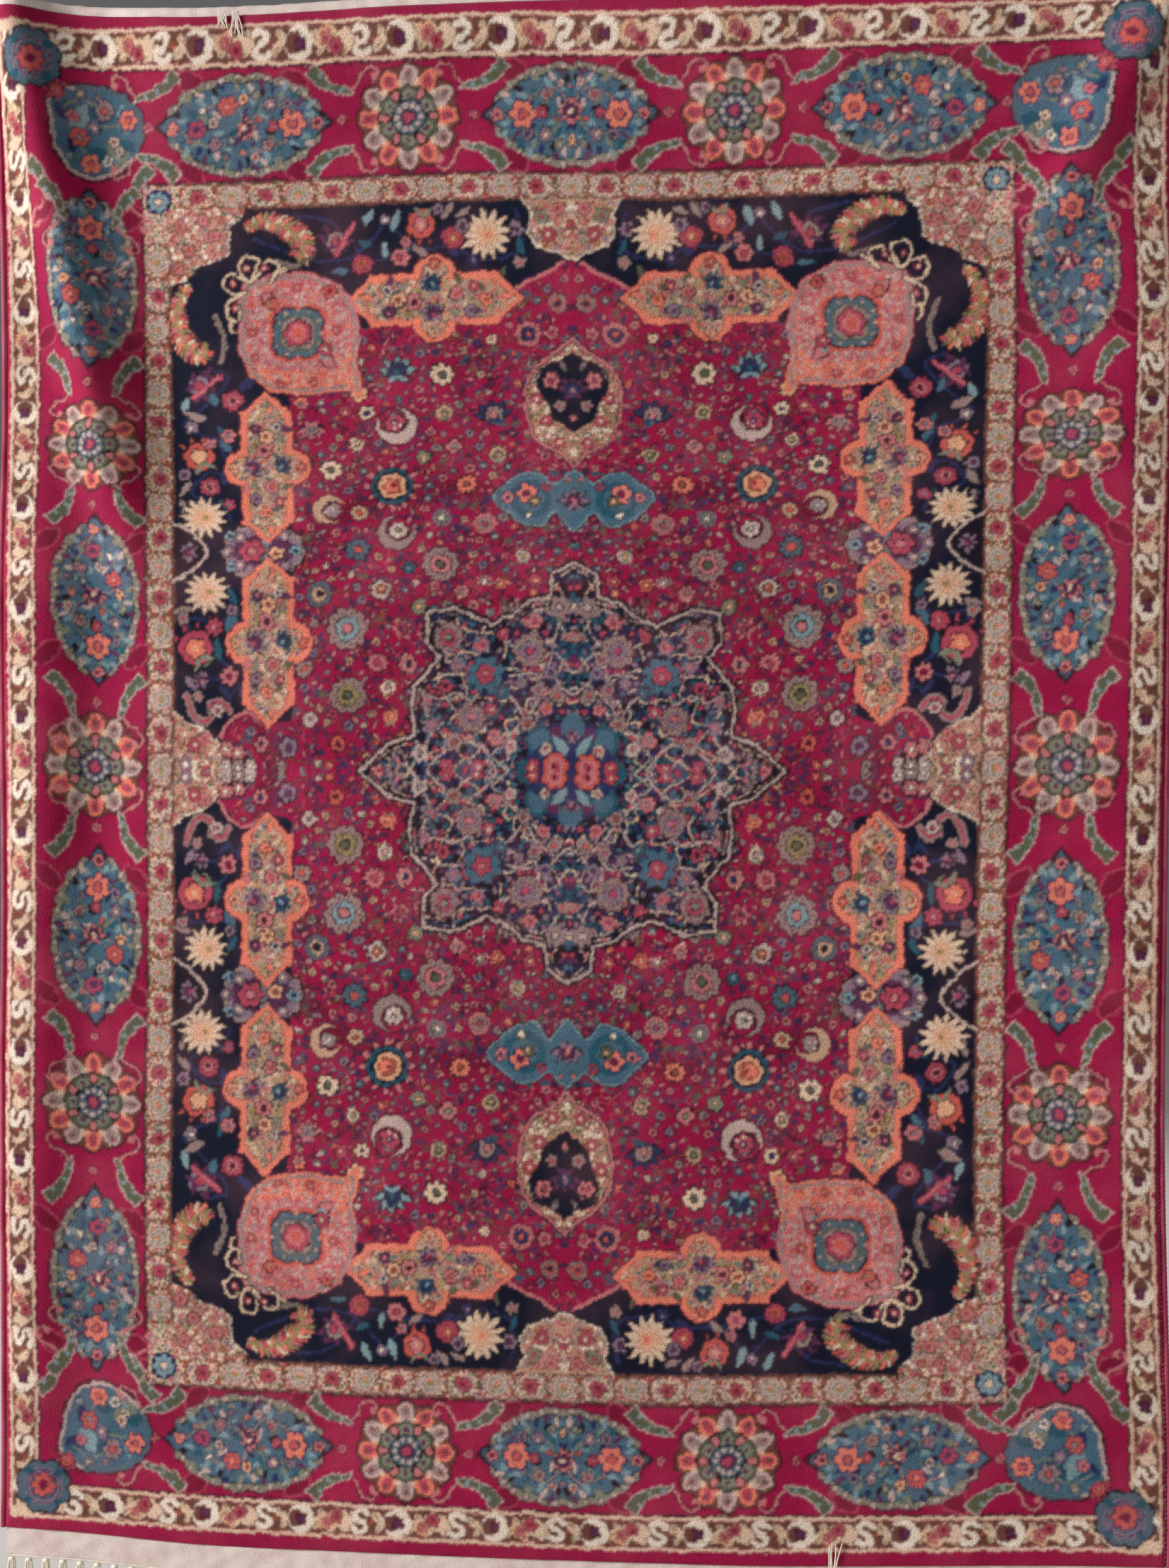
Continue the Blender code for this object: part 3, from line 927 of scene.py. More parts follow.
    def dome_and_arch(self) -> None:
        """Draw the cream dome at the end and the cream arch at the side."""
        lay = self.paper.lay
        dome = ((-9, 760), (64, 760), (52, 740), (56, 718), (46, 700), (16, 690), (8, 683),
                (-9, 683))
        arch = ((516, -9), (516, 72), (500, 58), (476, 50), (456, 34), (452, 16), (436, 0),
                (434, -9))
        notch = ((516, 240), (496, 252), (478, 270), (472, 283), (478, 296), (496, 314),
                 (516, 326))
        for shape in (dome, arch):
            lay(SHADOW, line(shape, 7.0), on=(NAVY, CRIMSON, PINK))
            lay(SAND, patch(*shape))
            lay(IVORY, line(shape[1:], 3.2), on=(SAND,))
        for shape, across, along in ((dome, (0, 60), (684, 759)), (arch, (434, 514), (0, 70))):
            self.speckle(patch(*shape), across, along, 6.2,
                         (ROSE, MOSS, RUST, IVORY, LILAC, PINK),
                         (SAND,))
        lay(SHADOW, patch(*notch))
        lay(DOVE, tendril(notch, 4.0))
        self.paper.draw(lotus(16, LILAC, PLUM, ROSE), (493, 283), 0)
        flowers = (
            (daisy(9, ROSE, CREAM, 6, BROWN), (28, 715)), (daisy(9, SAGE, ROSE, 6, BROWN), (38, 738)),
            (lotus(15, CREAM, ROSE, MOSS, BROWN), (0, 724), 90),
            (daisy(8, PINK, RUST, 5, BROWN), (16, 748)), (daisy(9, ROSE, CREAM, 6, BROWN), (488, 30)),
            (lotus(16, CREAM, ROSE, LILAC, BROWN), (470, 0), 0),
            (daisy(8, LILAC, IVORY, 5, BROWN), (500, 8)), (daisy(8, PINK, RUST, 5, BROWN), (474, 38)),
        )
        for motif, place, *turn in flowers:
            self.paper.draw(motif, place, *turn)
        lay(MAROON, patch((448, -6), (440, 26), (428, 32), (418, 20), (412, 6), (400, -6)))
        draw = self.paper.draw
        for x, y, wool in ((446, 6, DOVE), (430, 22, PINK), (414, 6, DOVE),
                           (430, 4, STONE), (446, 26, PINK)):
            draw(daisy(9, wool, IVORY, 6), (x, y))

    def purple_rosettes(self) -> None:
        """Draw the lilac rosettes between the tall cartouches."""
        draw = self.paper.draw
        for size, place in ((40, (415, 284)), (32, (374, 284))):
            self.paper.lay(SHADOW, petals(10, 1.04 * size, 0.92 * size), place)
            self.paper.lay(STONE, petals(10, 0.96 * size, 0.84 * size), place)
            self.paper.lay(LILAC, petals(10, 0.84 * size, 0.7 * size), place)
            self.paper.lay(PLUM, petals(8, 0.6 * size, 0.48 * size, 0.4), place)
        draw(daisy(17, ROSE, PINK, 6), (413, 284))
        draw(daisy(10, PEACH, RUST, 5), (380, 280))
        for place in ((356, 284), (392, 268), (392, 300), (440, 262), (440, 306)):
            draw(daisy(8, SKY, INDIGO, 5), place)
        for place in ((428, 304), (428, 264), (446, 284), (370, 262), (370, 306)):
            draw(daisy(8, LILAC, CREAM, 6), place)

    def cartouches(self) -> None:
        """Draw the salmon-framed cartouches along the field's edge."""
        sides = (
            # middle across, middle along, half length, lobe's place, turn
            ((174, 635), 83, 0, 0.0), ((391, 407), 83, -1, 90.0), ((391, 162), 83, 0, 90.0),
        )
        for place, half, shift, turn in sides:
            self.cartouche(place, half, shift, turn)

    def cartouche(self, place: Point, half: float, shift: float, turn: float) -> None:
        """Draw one cartouche with pointed ends and a lobe on either side.

        Args:
            place: Its middle.
            half: Half the length of its straight part.
            shift: How far along it the two lobes stand from the middle.
            turn: Its turn, in degrees.
        """
        parts = []
        for edge in (MAROON, SALMON, RUST, SAND):
            inset = {MAROON: -2.0, SALMON: 0.0, RUST: 8.6, SAND: 9.8}[edge]
            parts += [
                Layer(edge, block(half - inset, 33.5 - inset)),
                Layer(edge, disc(27 - inset), (shift, 29.0)),
                Layer(edge, disc(27 - inset), (shift, -29.0)),
                Layer(edge, lozenge(34 - inset, 32 - inset), (half - 4.0, 0.0)),
                Layer(edge, lozenge(34 - inset, 32 - inset), (4.0 - half, 0.0)),
            ]
        leaves = (
            (-66, 10, 30, MOSS), (-34, 18, 60, MOSS), (-60, -14, -20, INDIGO),
            (-36, -18, 10, SAGE), (34, 14, 20, SAGE), (58, 16, 100, PLUM),
            (44, -16, 20, SAGE), (64, -6, 200, PINK), (-84, 4, 180, SALMON),
            (-52, 2, 40, STONE), (22, -16, 0, OLIVE), (78, 2, 20, SALMON),
            (20, 20, 150, STONE), (-20, -24, 200, PINK), (70, -20, 160, SAGE),
        )
        for x, y, lean, wool in leaves:
            parts.append(Layer(BROWN, leaf(19, 9.5), (x, y), lean))
            parts.append(Layer(wool, leaf(17, 7), (x, y), lean))
        motif = [
            *parts,
            Layer(STONE, tendril(((-78, 0), (-50, 8), (-24, -6), (0, 4), (26, -6), (52, 6),
                                       (80, -2)), 2.4)),
        ]
        self.paper.draw(motif, place, turn)
        blooms = (
            (lotus(17, LILAC, PLUM, ROSE), (0, -19)), (lotus(15, TEAL, INDIGO, SKY), (2, 18)),
            (daisy(8, LILAC, PLUM, 6), (-46, -16)), (daisy(7, ROSE, PEACH, 5), (-50, 15)),
            (daisy(7, DOVE, INDIGO, 5), (60, 12)), (daisy(7, PLUM, PINK, 5), (58, -15)),
            (daisy(11, PINK, MAROON, 6), (26, -3)), (daisy(10, PEACH, RUST, 6), (46, 0)),
            (daisy(9, PINK, CORAL, 5), (-28, 6)), (daisy(8, SALMON, RUST, 5), (-66, -2)),
            (daisy(7, CORAL, PEACH, 5), (0, 44)), (daisy(7, PEACH, CORAL, 5), (0, -44)),
        )
        reach_x, reach_y = (56.0, half + 30.0) if turn else (half + 30.0, 56.0)
        self.speckle(disc(2000.0), (place[0] - reach_x, place[0] + reach_x),
                     (place[1] - reach_y, place[1] + reach_y), 6.4,
                     (MOSS, ROSE, OLIVE, TEAL, CORAL, CREAM,
                      STONE), (SAND,))
        cosine, sine = math.cos(math.radians(turn)), math.sin(math.radians(turn))
        for bloom, (x, y) in blooms:
            x += shift
            at = (place[0] + cosine * x - sine * y, place[1] + sine * x + cosine * y)
            self.paper.draw(bloom, at, turn + 60.0)

    def roundel(self) -> None:
        """Draw the rosy roundel in the corner of the field, with its lily."""
        lay, draw = self.paper.lay, self.paper.draw
        tear = ((268, 508), (284, 520), (300, 518), (340, 514), (384, 520), (410, 542),
                (424, 580), (424, 640), (416, 662), (372, 674), (330, 672), (292, 654),
                (276, 626), (270, 590), (276, 556), (270, 530))
        lay(MAROON, line((*tear, tear[0]), 8.0), on=(NAVY, CRIMSON, MADDER))
        lay(STONE, patch(*tear))
        lay(PINK, line((*tear, tear[0]), 4.0))
        lay(STONE, hoop(68, 72), (348, 594), on=(PINK,))
        rose = patch(*((348 + 0.92 * (x - 348), 596 + 0.92 * (y - 596)) for x, y in tear))
        lay(PINK, rose)
        band = patch((262, 500), (400, 500), (426, 560), (404, 560), (380, 545), (330, 548),
                     (300, 540), (284, 580), (268, 560))
        lay(SALMON, band, on=(PINK,))
        self.speckle(patch(*tear), (270, 424), (512, 672), 5.6,
                     (CORAL, DOVE, ROSE, SALMON, DOVE, STONE),
                     (PINK, SALMON))
        eye = (349, 597)
        for wool, size in ((CORAL, 44), (SHADOW, 39), (SLATE, 36.5),
                           (MOSS, 27), (STONE, 24)):
            lay(wool, scalloped(size, size, 4, 0.2), eye, 45.0)
        draw(around(12, 31, SAND, disc(1.8)), eye)
        for wool, size in ((SHADOW, 20), (ROSE, 18), (PINK, 12), (CORAL, 8)):
            lay(wool, petals(7, size, 0.8 * size), eye)
        for place, turn in (((312, 560), 225), ((386, 640), 45)):
            draw(bud(17, PINK, SKY), place, turn)
        draw(daisy(9, ROSE, CREAM, 5), (314, 574))
        draw(daisy(8, CORAL, MADDER, 6), (308, 650))
        draw(daisy(8, CORAL, OLIVE, 6), (384, 636))
        for x, y in ((372, 528), (330, 530), (300, 600), (408, 600), (404, 566), (350, 656)):
            draw(daisy(6, ROSE, SAND, 5, RUST), (x, y))
        self.lily()

    def lily(self) -> None:
        """Draw the white scrolled lily between roundel and spandrel."""
        lay = self.paper.lay
        scrolls = (
            ((384, 664), (372, 684), (388, 692), (398, 676), (410, 664)),
            ((410, 664), (400, 692), (420, 696), (424, 678), (410, 664)),
            ((410, 664), (436, 676), (446, 662), (432, 650), (414, 652)),
            ((418, 650), (438, 640), (440, 622), (426, 616), (424, 634)),
            ((362, 682), (372, 676), (384, 664)), ((434, 616), (436, 606), (430, 600)),
        )
        for scroll in scrolls:
            lay(SHADOW, tendril(scroll, 6.0))
        for scroll in scrolls:
            lay(CREAM, tendril(scroll, 3.0))
        for place in ((392, 682), (414, 682), (432, 664), (430, 632)):
            self.paper.draw(daisy(5, ROSE, CREAM, 5), place)

    def corner_spandrel(self) -> None:
        """Draw the stepped cream spandrel in the corner of the navy band."""
        steps = ((416, 762), (418, 750), (436, 735), (437, 702), (450, 694), (480, 685),
                 (490, 672), (518, 662), (518, 762))
        self.paper.lay(SHADOW, line(steps[:-1], 6.0))
        self.paper.lay(SAND, patch(*steps))
        self.speckle(patch(*steps), (416, 518), (662, 762), 6.2,
                     (ROSE, MOSS, RUST, IVORY, LILAC, PINK),
                     (SAND,))
        self.paper.lay(IVORY, line(steps[1:-1], 3.0), on=(SAND,))
        self.speckle(patch(*steps), (416, 516), (662, 760), 6.2,
                     (RUST, PEACH, CORAL, IVORY, PINK, BROWN),
                     (SAND,))
        for place in ((456, 724), (488, 708), (470, 746), (500, 738), (504, 684)):
            self.paper.draw(daisy(8, PINK, RUST, 6, BROWN), place)

    # -------------------------------------------------------- the main border

    def main_border(self) -> None:
        """Set ovals, rosettes, brackets and corner hearts on the crimson border."""
        for at, turn in (((205, 867), 0.0), ((620, 434), 90.0), ((622, 0), 90.0)):
            self.paper.draw(self.border_rosette(), at, turn)
        for at, turn, half in (((0, 867), 0.0, 108), ((415, 866), 180.0, 110),
                               ((618, 664), 90.0, 118), ((618, 217), 270.0, 113)):
            self.paper.draw(self.border_oval(half, 64.0 if turn in (0.0, 180.0) else 60.0), at, turn)
        self.corner_heart()
        for x, y in ((122, 868), (290, 868), (620, 524), (620, 348), (620, 78), (540, 866)):
            self.paper.draw(daisy(6, PINK, ROSE, 5, MAROON), (x, y))
        for along, lean in ((92, 1), (322, -1), (512, 1)):
            for side in (1, -1):
                self.bracket((along, 867 + side * 36), (lean, side), False)
        for along, lean in ((780, -1), (553, -1), (329, 1), (104, -1)):
            for side in (1, -1):
                self.bracket((618 + side * 33, along), (side, lean), True)
        lozenges = (
            (72, 919, 19, 14), (70, 813, 19, 13), (350, 916, 20, 13), (350, 811, 20, 12),
            (484, 919, 20, 13), (484, 811, 20, 12), (564, 588, 11, 22), (682, 588, 11, 22),
            (564, 748, 11, 22), (676, 748, 11, 22), (564, 292, 11, 22), (682, 292, 11, 22),
            (564, 142, 11, 22), (682, 142, 11, 22),
        )
        for x, y, half_x, half_y in lozenges:
            self.paper.lay(ROSE, scalloped(half_x + 2.0, half_y + 2.0, 4, 0.1), (x, y),
                           45.0, (CRIMSON, MAROON))
            self.paper.lay(MADDER, scalloped(half_x - 0.5, half_y - 0.5, 4, 0.1), (x, y),
                           45.0, (ROSE,))

    def border_rosette(self) -> Motif:
        """Return the twelve-petalled rosette of the main border."""
        return [
            Layer(MAROON, petals(12, 68, 60)), Layer(BROWN, petals(12, 65, 58)),
            *around(12, 46, SALMON, oval(17, 11.5)), *around(6, 46, DOVE, oval(17, 11.5), 30.0),
            *around(12, 50, ROSE, oval(9, 6.5)), *around(6, 49, STONE, oval(9, 6), 30.0),
            *around(12, 52, BROWN, oval(4, 2)), *around(12, 43, CREAM, disc(3.2), 15.0),
            Layer(SHADOW, petals(12, 40, 37)), Layer(MOSS, petals(12, 38, 35)),
            Layer(SAGE, petals(12, 34, 30)), *around(6, 30, SHADOW, oval(8, 6.5)),
            *around(6, 31, PINK, oval(6, 4.6)), *around(6, 27, PLUM, disc(3.2), 30.0),
            Layer(SHADOW, disc(22)), Layer(SLATE, petals(10, 20.5, 18)),
            *around(10, 15, DOVE, disc(3.0)), Layer(SHADOW, disc(10.5)), Layer(PLUM, disc(9.0)),
            Layer(ROSE, petals(5, 6.5, 5)),
        ]

    def border_oval(self, half: float, girth: float) -> Motif:
        """Return the blue oval of the main border, long along x."""
        rim = [
            Layer(wool, disc(size), (0.88 * half * math.cos(angle), 0.92 * girth * math.sin(angle)))
            for angle in (math.radians(90 * side + turn) for side in (1, 3)
                          for turn in range(-66, 67, 12))
            for wool, size in ((MOSS, 4.6), (DOVE, 3.0))
        ]
        fills = (SKY, TEAL, INDIGO, DOVE, SLATE, SKY, PLUM,
                 SAGE, SHADOW)
        fronds = []
        for number in range(90):
            away, angle = math.sqrt(number / 90.0), 2.4 * number
            place = (0.84 * half * away * math.cos(angle), 0.76 * girth * away * math.sin(angle))
            fronds.append(Layer(fills[number % len(fills)], leaf(15, 7.5, 3.0), place,
                                137.0 * number))
        return [
            Layer(MAROON, lens(half + 8, 0.8 * girth)),
            Layer(MAROON, scalloped(0.96 * half, girth + 2.5, 18, 0.06)),
            Layer(STONE, scalloped(0.94 * half, girth, 18, 0.06)),
            Layer(SAGE, scalloped(0.91 * half, girth - 3.0, 18, 0.06)),
            *rim,
            Layer(SHADOW, lens(half + 3, 0.8 * girth)),
            Layer(SHADOW, scalloped(0.86 * half, 0.86 * girth, 14, 0.05)),
            Layer(BLUE, lens(half, 0.76 * girth)),
            Layer(BLUE, scalloped(0.84 * half, 0.83 * girth, 14, 0.05)),
            *fronds,
            Layer(SAGE, tendril(((-0.8 * half, 0), (-0.4 * half, 26), (0, 6),
                                      (0.3 * half, -26), (0.8 * half, 0)), 2.6)),
            Layer(STONE, tendril(((-0.5 * half, -22), (-0.1 * half, -30), (0, 6),
                                       (0.2 * half, 32), (0.5 * half, 18)), 2.2)),
            *(Layer(layer.wool, layer.shape, (layer.at[0] + x, layer.at[1] + y), layer.turn)
              for motif, x, y in (
                  (daisy(17, SALMON, CORAL, 6, INDIGO), 0.56 * half, 0),
                  (daisy(8, PINK, MADDER, 5), 0.86 * half, 0), (lotus(17, PINK, PLUM, CREAM), 0, 4),
                  (daisy(12, CORAL, SALMON, 6, INDIGO), -0.2 * half, -24),
                  (daisy(11, ROSE, PLUM, 6, INDIGO), -0.56 * half, 4),
                  (daisy(8, SALMON, PEACH, 5, INDIGO), -0.83 * half, 2),
                  (daisy(9, LILAC, PINK, 6), -0.34 * half, 22),
                  (daisy(8, STONE, ROSE, 5), 0.28 * half, 24),
                  (daisy(8, LILAC, CREAM, 6), 0.3 * half, -24),
                  (daisy(7, PEACH, RUST, 5), -0.02 * half, -32), (bud(9, PINK), -0.04 * half, 33),
                  (bud(8, IVORY), -0.5 * half, -20), (bud(8, CORAL), 0.16 * half, -6),
                  (bud(7, PINK), -0.66 * half, 18), (bud(7, LILAC), 0.46 * half, 20),
                  (daisy(7, SLATE, DOVE, 5), -0.16 * half, 18),
                  (daisy(7, ROSE, PINK, 5), 0.34 * half, 2),
                  (daisy(6, DOVE, PLUM, 5), -0.36 * half, -4),
                  (daisy(6, SAGE, DOVE, 5), 0.14 * half, -36),
                  (daisy(6, SLATE, PINK, 5), -0.22 * half, 38),
                  (daisy(7, LILAC, INDIGO, 5), 0.5 * half, -24),
                  (daisy(6, DOVE, CORAL, 5), 0.12 * half, 38),
              ) for layer in motif),
        ]

    def bracket(self, at: Point, lean: Point, upright: bool) -> None:
        """Draw a grey-green wing that curls into a pink hook.

        Args:
            at: Where the wing stands.
            lean: Which way it runs along the border, and which way it stands out.
            upright: Whether the border runs along the rug's length.
        """
        wing = ((-14, 22), (0, 8), (20, -1), (46, -4), (38, 4), (22, 8), (8, 19), (-2, 33))
        hook = ((40, -2), (52, 8), (58, 22), (70, 28), (78, 20), (72, 12))
        def place(point: Point) -> Point:
            x, y = point
            if upright:
                x, y = y, x
            return (at[0] + lean[0] * x, at[1] + lean[1] * y)
        lay = self.paper.lay
        lay(MAROON, tendril([place(p) for p in hook], 7.0), on=FIELD_DYES)
        lay(PINK, tendril([place(p) for p in hook], 3.2))
        lay(DOVE, line([place(p) for p in (*wing, wing[0])], 3.6))
        lay(MOSS, patch(*(place(p) for p in wing)))
        for spot in ((4, 20), (16, 6), (32, 1)):
            lay(SKY, disc(2.6), place(spot))
        lay(PINK, disc(4.5), place((73, 16)))

    def corner_heart(self) -> None:
        """Draw the blue heart in the corner of the main border, and its square."""
        lay, draw = self.paper.lay, self.paper.draw
        heart = ((612, 800), (640, 806), (658, 832), (664, 864), (668, 890), (660, 906),
                 (634, 914), (600, 914), (572, 904), (552, 884), (548, 858), (560, 832),
                 (584, 810), (612, 800))
        lay(MAROON, line(heart, 12.0))
        lay(BLUE, patch(*heart))
        lay(DOVE, line(heart, 4.0))
        lay(SLATE, line(heart[6:12], 6.0))
        lay(SAGE, patch((560, 850), (596, 846), (592, 812), (570, 826)), on=(BLUE,))
        for x, y, length, turn, wool in (
            (600, 862, 40, 60, TEAL), (640, 858, 44, 120, SKY),
            (620, 836, 36, 200, TEAL), (632, 884, 30, 10, TEAL),
            (570, 860, 36, 80, SKY), (590, 890, 30, -20, INDIGO),
            (640, 830, 30, 100, INDIGO), (605, 820, 30, 160, SKY),
            (580, 850, 30, 200, TEAL), (648, 870, 26, 60, INDIGO),
        ):
            lay(wool, leaf(length, 0.5 * length), (x, y), turn, (BLUE, SAGE))
        for course in (((566, 876), (590, 868), (612, 866), (632, 852), (618, 820)),
                       ((612, 866), (606, 888), (628, 898), (650, 886))):
            lay(SAGE, tendril(course, 2.4))
        for motif, place in (
            (daisy(13, SALMON, CORAL, 6, INDIGO), (567, 876)),
            (daisy(13, STONE, CORAL, 6, INDIGO), (598, 886)),
            (daisy(12, CORAL, STONE, 6, INDIGO), (630, 850)),
            (daisy(12, SALMON, CORAL, 6, INDIGO), (616, 818)),
            (daisy(8, PINK, ROSE, 5, INDIGO), (640, 876)),
            (daisy(8, LILAC, CREAM, 5, INDIGO), (612, 864)),
            (daisy(7, CREAM, RUST, 5, INDIGO), (586, 848)),
            (daisy(7, IVORY, SAGE, 5, INDIGO), (594, 824)),
            (daisy(7, SAGE, CREAM, 5, INDIGO), (630, 904)),
            (daisy(6, CREAM, SAGE, 5, INDIGO), (580, 836)),
            (bud(9, LILAC), (606, 902)), (bud(9, SKY), (640, 826)),
        ):
            draw(motif, place)
        draw(lotus(17, ROSE, CORAL, PINK), (658, 904), 45)
        self.bracket((668, 806), (1, -1), True)
        self.bracket((566, 808), (-1, -1), True)
        lay(SHADOW, scalloped(39, 38, 8, 0.12), (690, 940), 22.5)
        lay(SLATE, scalloped(36, 35, 8, 0.12), (690, 940), 22.5)
        lay(LILAC, hoop(19, 25), (690, 940), on=(SLATE,))
        lay(INDIGO, hoop(21, 23), (690, 940), on=(LILAC,))
        draw(around(4, 28, TEAL, disc(6), 45.0), (690, 940))
        draw(daisy(16, CORAL, CORAL, 8, PLUM), (690, 938))
        lay(MADDER, disc(5.5), (690, 938))

    def inner_guard(self) -> None:
        """Draw the chain of discs and little rosettes between border and navy."""
        middle_x = 532.0
        middle_y = 778.0
        pitch = 43.3
        for number in range(int(middle_x / pitch)):
            self.guard_link((number * pitch, middle_y), 0.0, number % 2 == 0)
        for number in range(int(middle_y / pitch)):
            self.guard_link((middle_x, number * pitch), 90.0, number % 2 == 0)
        for across, along in (((-4, 548), (764, 796)), ((519, 548), (-4, 764))):
            self.speckle(disc(2000.0), across, along, 7.0,
                         (ROSE, SAGE, STONE, RUST, LILAC, MOSS),
                         (CREAM,))
        corner = (528, 772)
        self.paper.lay(SHADOW, disc(18), corner)
        self.paper.draw(daisy(15, SKY, CREAM, 8, INDIGO), corner)
        for half_x, half_y in ((549.0, 796.0), (517.0, 761.0)):
            edge = ((-9, half_y), (half_x, half_y), (half_x, -9))
            self.paper.lay(BROWN, line(edge, 2.4), on=(CREAM,))

    def guard_link(self, at: Point, turn: float, big: bool) -> None:
        """Draw one link of the inner guard's chain.

        Args:
            at: Its middle.
            turn: Its turn, in degrees.
            big: Whether it is a disc, and not a little rosette.
        """
        vine = [
            Layer(BROWN, tendril(((-24, side * 2), (-16, side * 15), (0, side * 17),
                                       (16, side * 15), (24, side * 2)), 2.6))
            for side in (-1, 1)
        ]
        zigzag = [Layer(RUST, disc(3.4), (x, y)) for x in (-21.6, 21.6) for y in (-11, 11)]
        centre = daisy(9.5, ROSE, MADDER, 6, BROWN)
        if big:
            centre = [
                Layer(RUST, disc(15.5)), Layer(DOVE, disc(14.0)),
                Layer(SAGE, petals(6, 11, 8)), Layer(DOVE, disc(8)), Layer(OLIVE, oval(6, 4)),
                Layer(SALMON, disc(2.6), (0, -4)),
            ]
        self.paper.draw([*vine, *zigzag, *centre], at, turn)


@dataclass
class CreamGuard:
    """The running cream guard, one repeat of which is drawn and then laid in a row.

    Args:
        width: Width of the guard.
        ends: Length of a repeat along the ends of the rug.
        sides: Length of a repeat along its sides.
    """

    width: float = 44.0
    ends: float = 128.0
    sides: float = 142.0

    def repeat(self, length: float) -> Array:
        """Return one repeat's squares, in rows across the guard.

        Args:
            length: Length of the repeat.

        Returns:
            The squares.
        """
        paper = Cartoon(int(length), int(self.width), BROWN)
        middle = 0.5 * self.width
        lay, draw = paper.lay, paper.draw
        stretch = length / self.ends
        for edge, half, wool in ((2.5, 2.6, CREAM), (4.6, 0.8, PINK)):
            for side in (edge, self.width - edge):
                lay(wool, block(length, half), (0.0, side))
        blades = ((0, 13, -50, 26), (8, -13, 60, 18), (50, -12, 50, 26), (58, 14, -60, 20),
                  (86, 14, -50, 28), (98, -14, 110, 18), (22, 14, -20, 12), (70, -14, 20, 14))
        curve = ((104, -9), (112, -13), (121, -8), (116, 0), (108, 3), (106, 11), (116, 14),
                 (124, 9))
        for start in (-length, 0.0, length):
            def at(x: float, y: float) -> Point:
                """Return a place in this repeat."""
                return (start + x * stretch, middle + y)
            for x, y, turn, reach in blades:
                lay(CREAM, leaf(reach, 0.42 * reach, 3.0), at(x, y), turn)
                lay(OLIVE, leaf(0.6 * reach, 0.12 * reach, 2.0), at(x, y), turn)
            lay(IVORY, moon(18, 11.5, 6), at(34, 0), 180.0)
            lay(IVORY, oval(7, 4), at(38, 13))
            lay(MAROON, block(7, 7), at(35, 0))
            lay(PLUM, block(4, 4), at(35, 0))
            lay(IVORY, tendril([at(*point) for point in curve], 7.0))
            for x, y, wool in ((80, 4, CREAM), (68, -4, PEACH), (92, -2, CREAM)):
                lay(wool, petals(5, 11, 8), at(x, y))
            draw(daisy(8.5, ROSE, MADDER, 6, BROWN), at(81, 5))
            draw(daisy(7, PINK, ROSE, 5, BROWN), at(69, -3))
            lay(RUST, oval(5, 2.4), at(128, 0), 50)
        return paper.squares

    def work(self, squares: Array) -> None:
        """Lay the repeats along all four edges of the whole cartoon.

        Args:
            squares: The whole cartoon, in rows from the top.
        """
        length, width = squares.shape
        across = np.arange(width) - width // 2
        along = np.arange(length) - length // 2
        for_ends = self.repeat(self.ends)
        for_sides = self.repeat(self.sides)
        deep = int(self.width)
        top = int(length / 2 - Ground.OUTER_GUARD.value[1])
        side = int(width / 2 - Ground.OUTER_GUARD.value[0])
        slim = int(Ground.OUTER_GUARD.value[0] - Ground.MAIN_BORDER.value[0])
        rows = np.arange(deep)
        inside = slice(side + slim, width - side - slim)
        for start, order in ((top, rows), (length - top - deep, rows[::-1])):
            tile = for_ends[order][:, (across[inside] - 6) % for_ends.shape[1]]
            squares[start:start + deep, inside] = tile
        taken = (np.arange(slim) * deep / slim).astype(int)
        inside = slice(top + 14, length - top - 14)
        for start, order in ((side, taken), (width - side - slim, taken[::-1])):
            tile = for_sides[order][:, (along[inside] + 92) % for_sides.shape[1]]
            squares[inside, start:start + slim] = tile.T


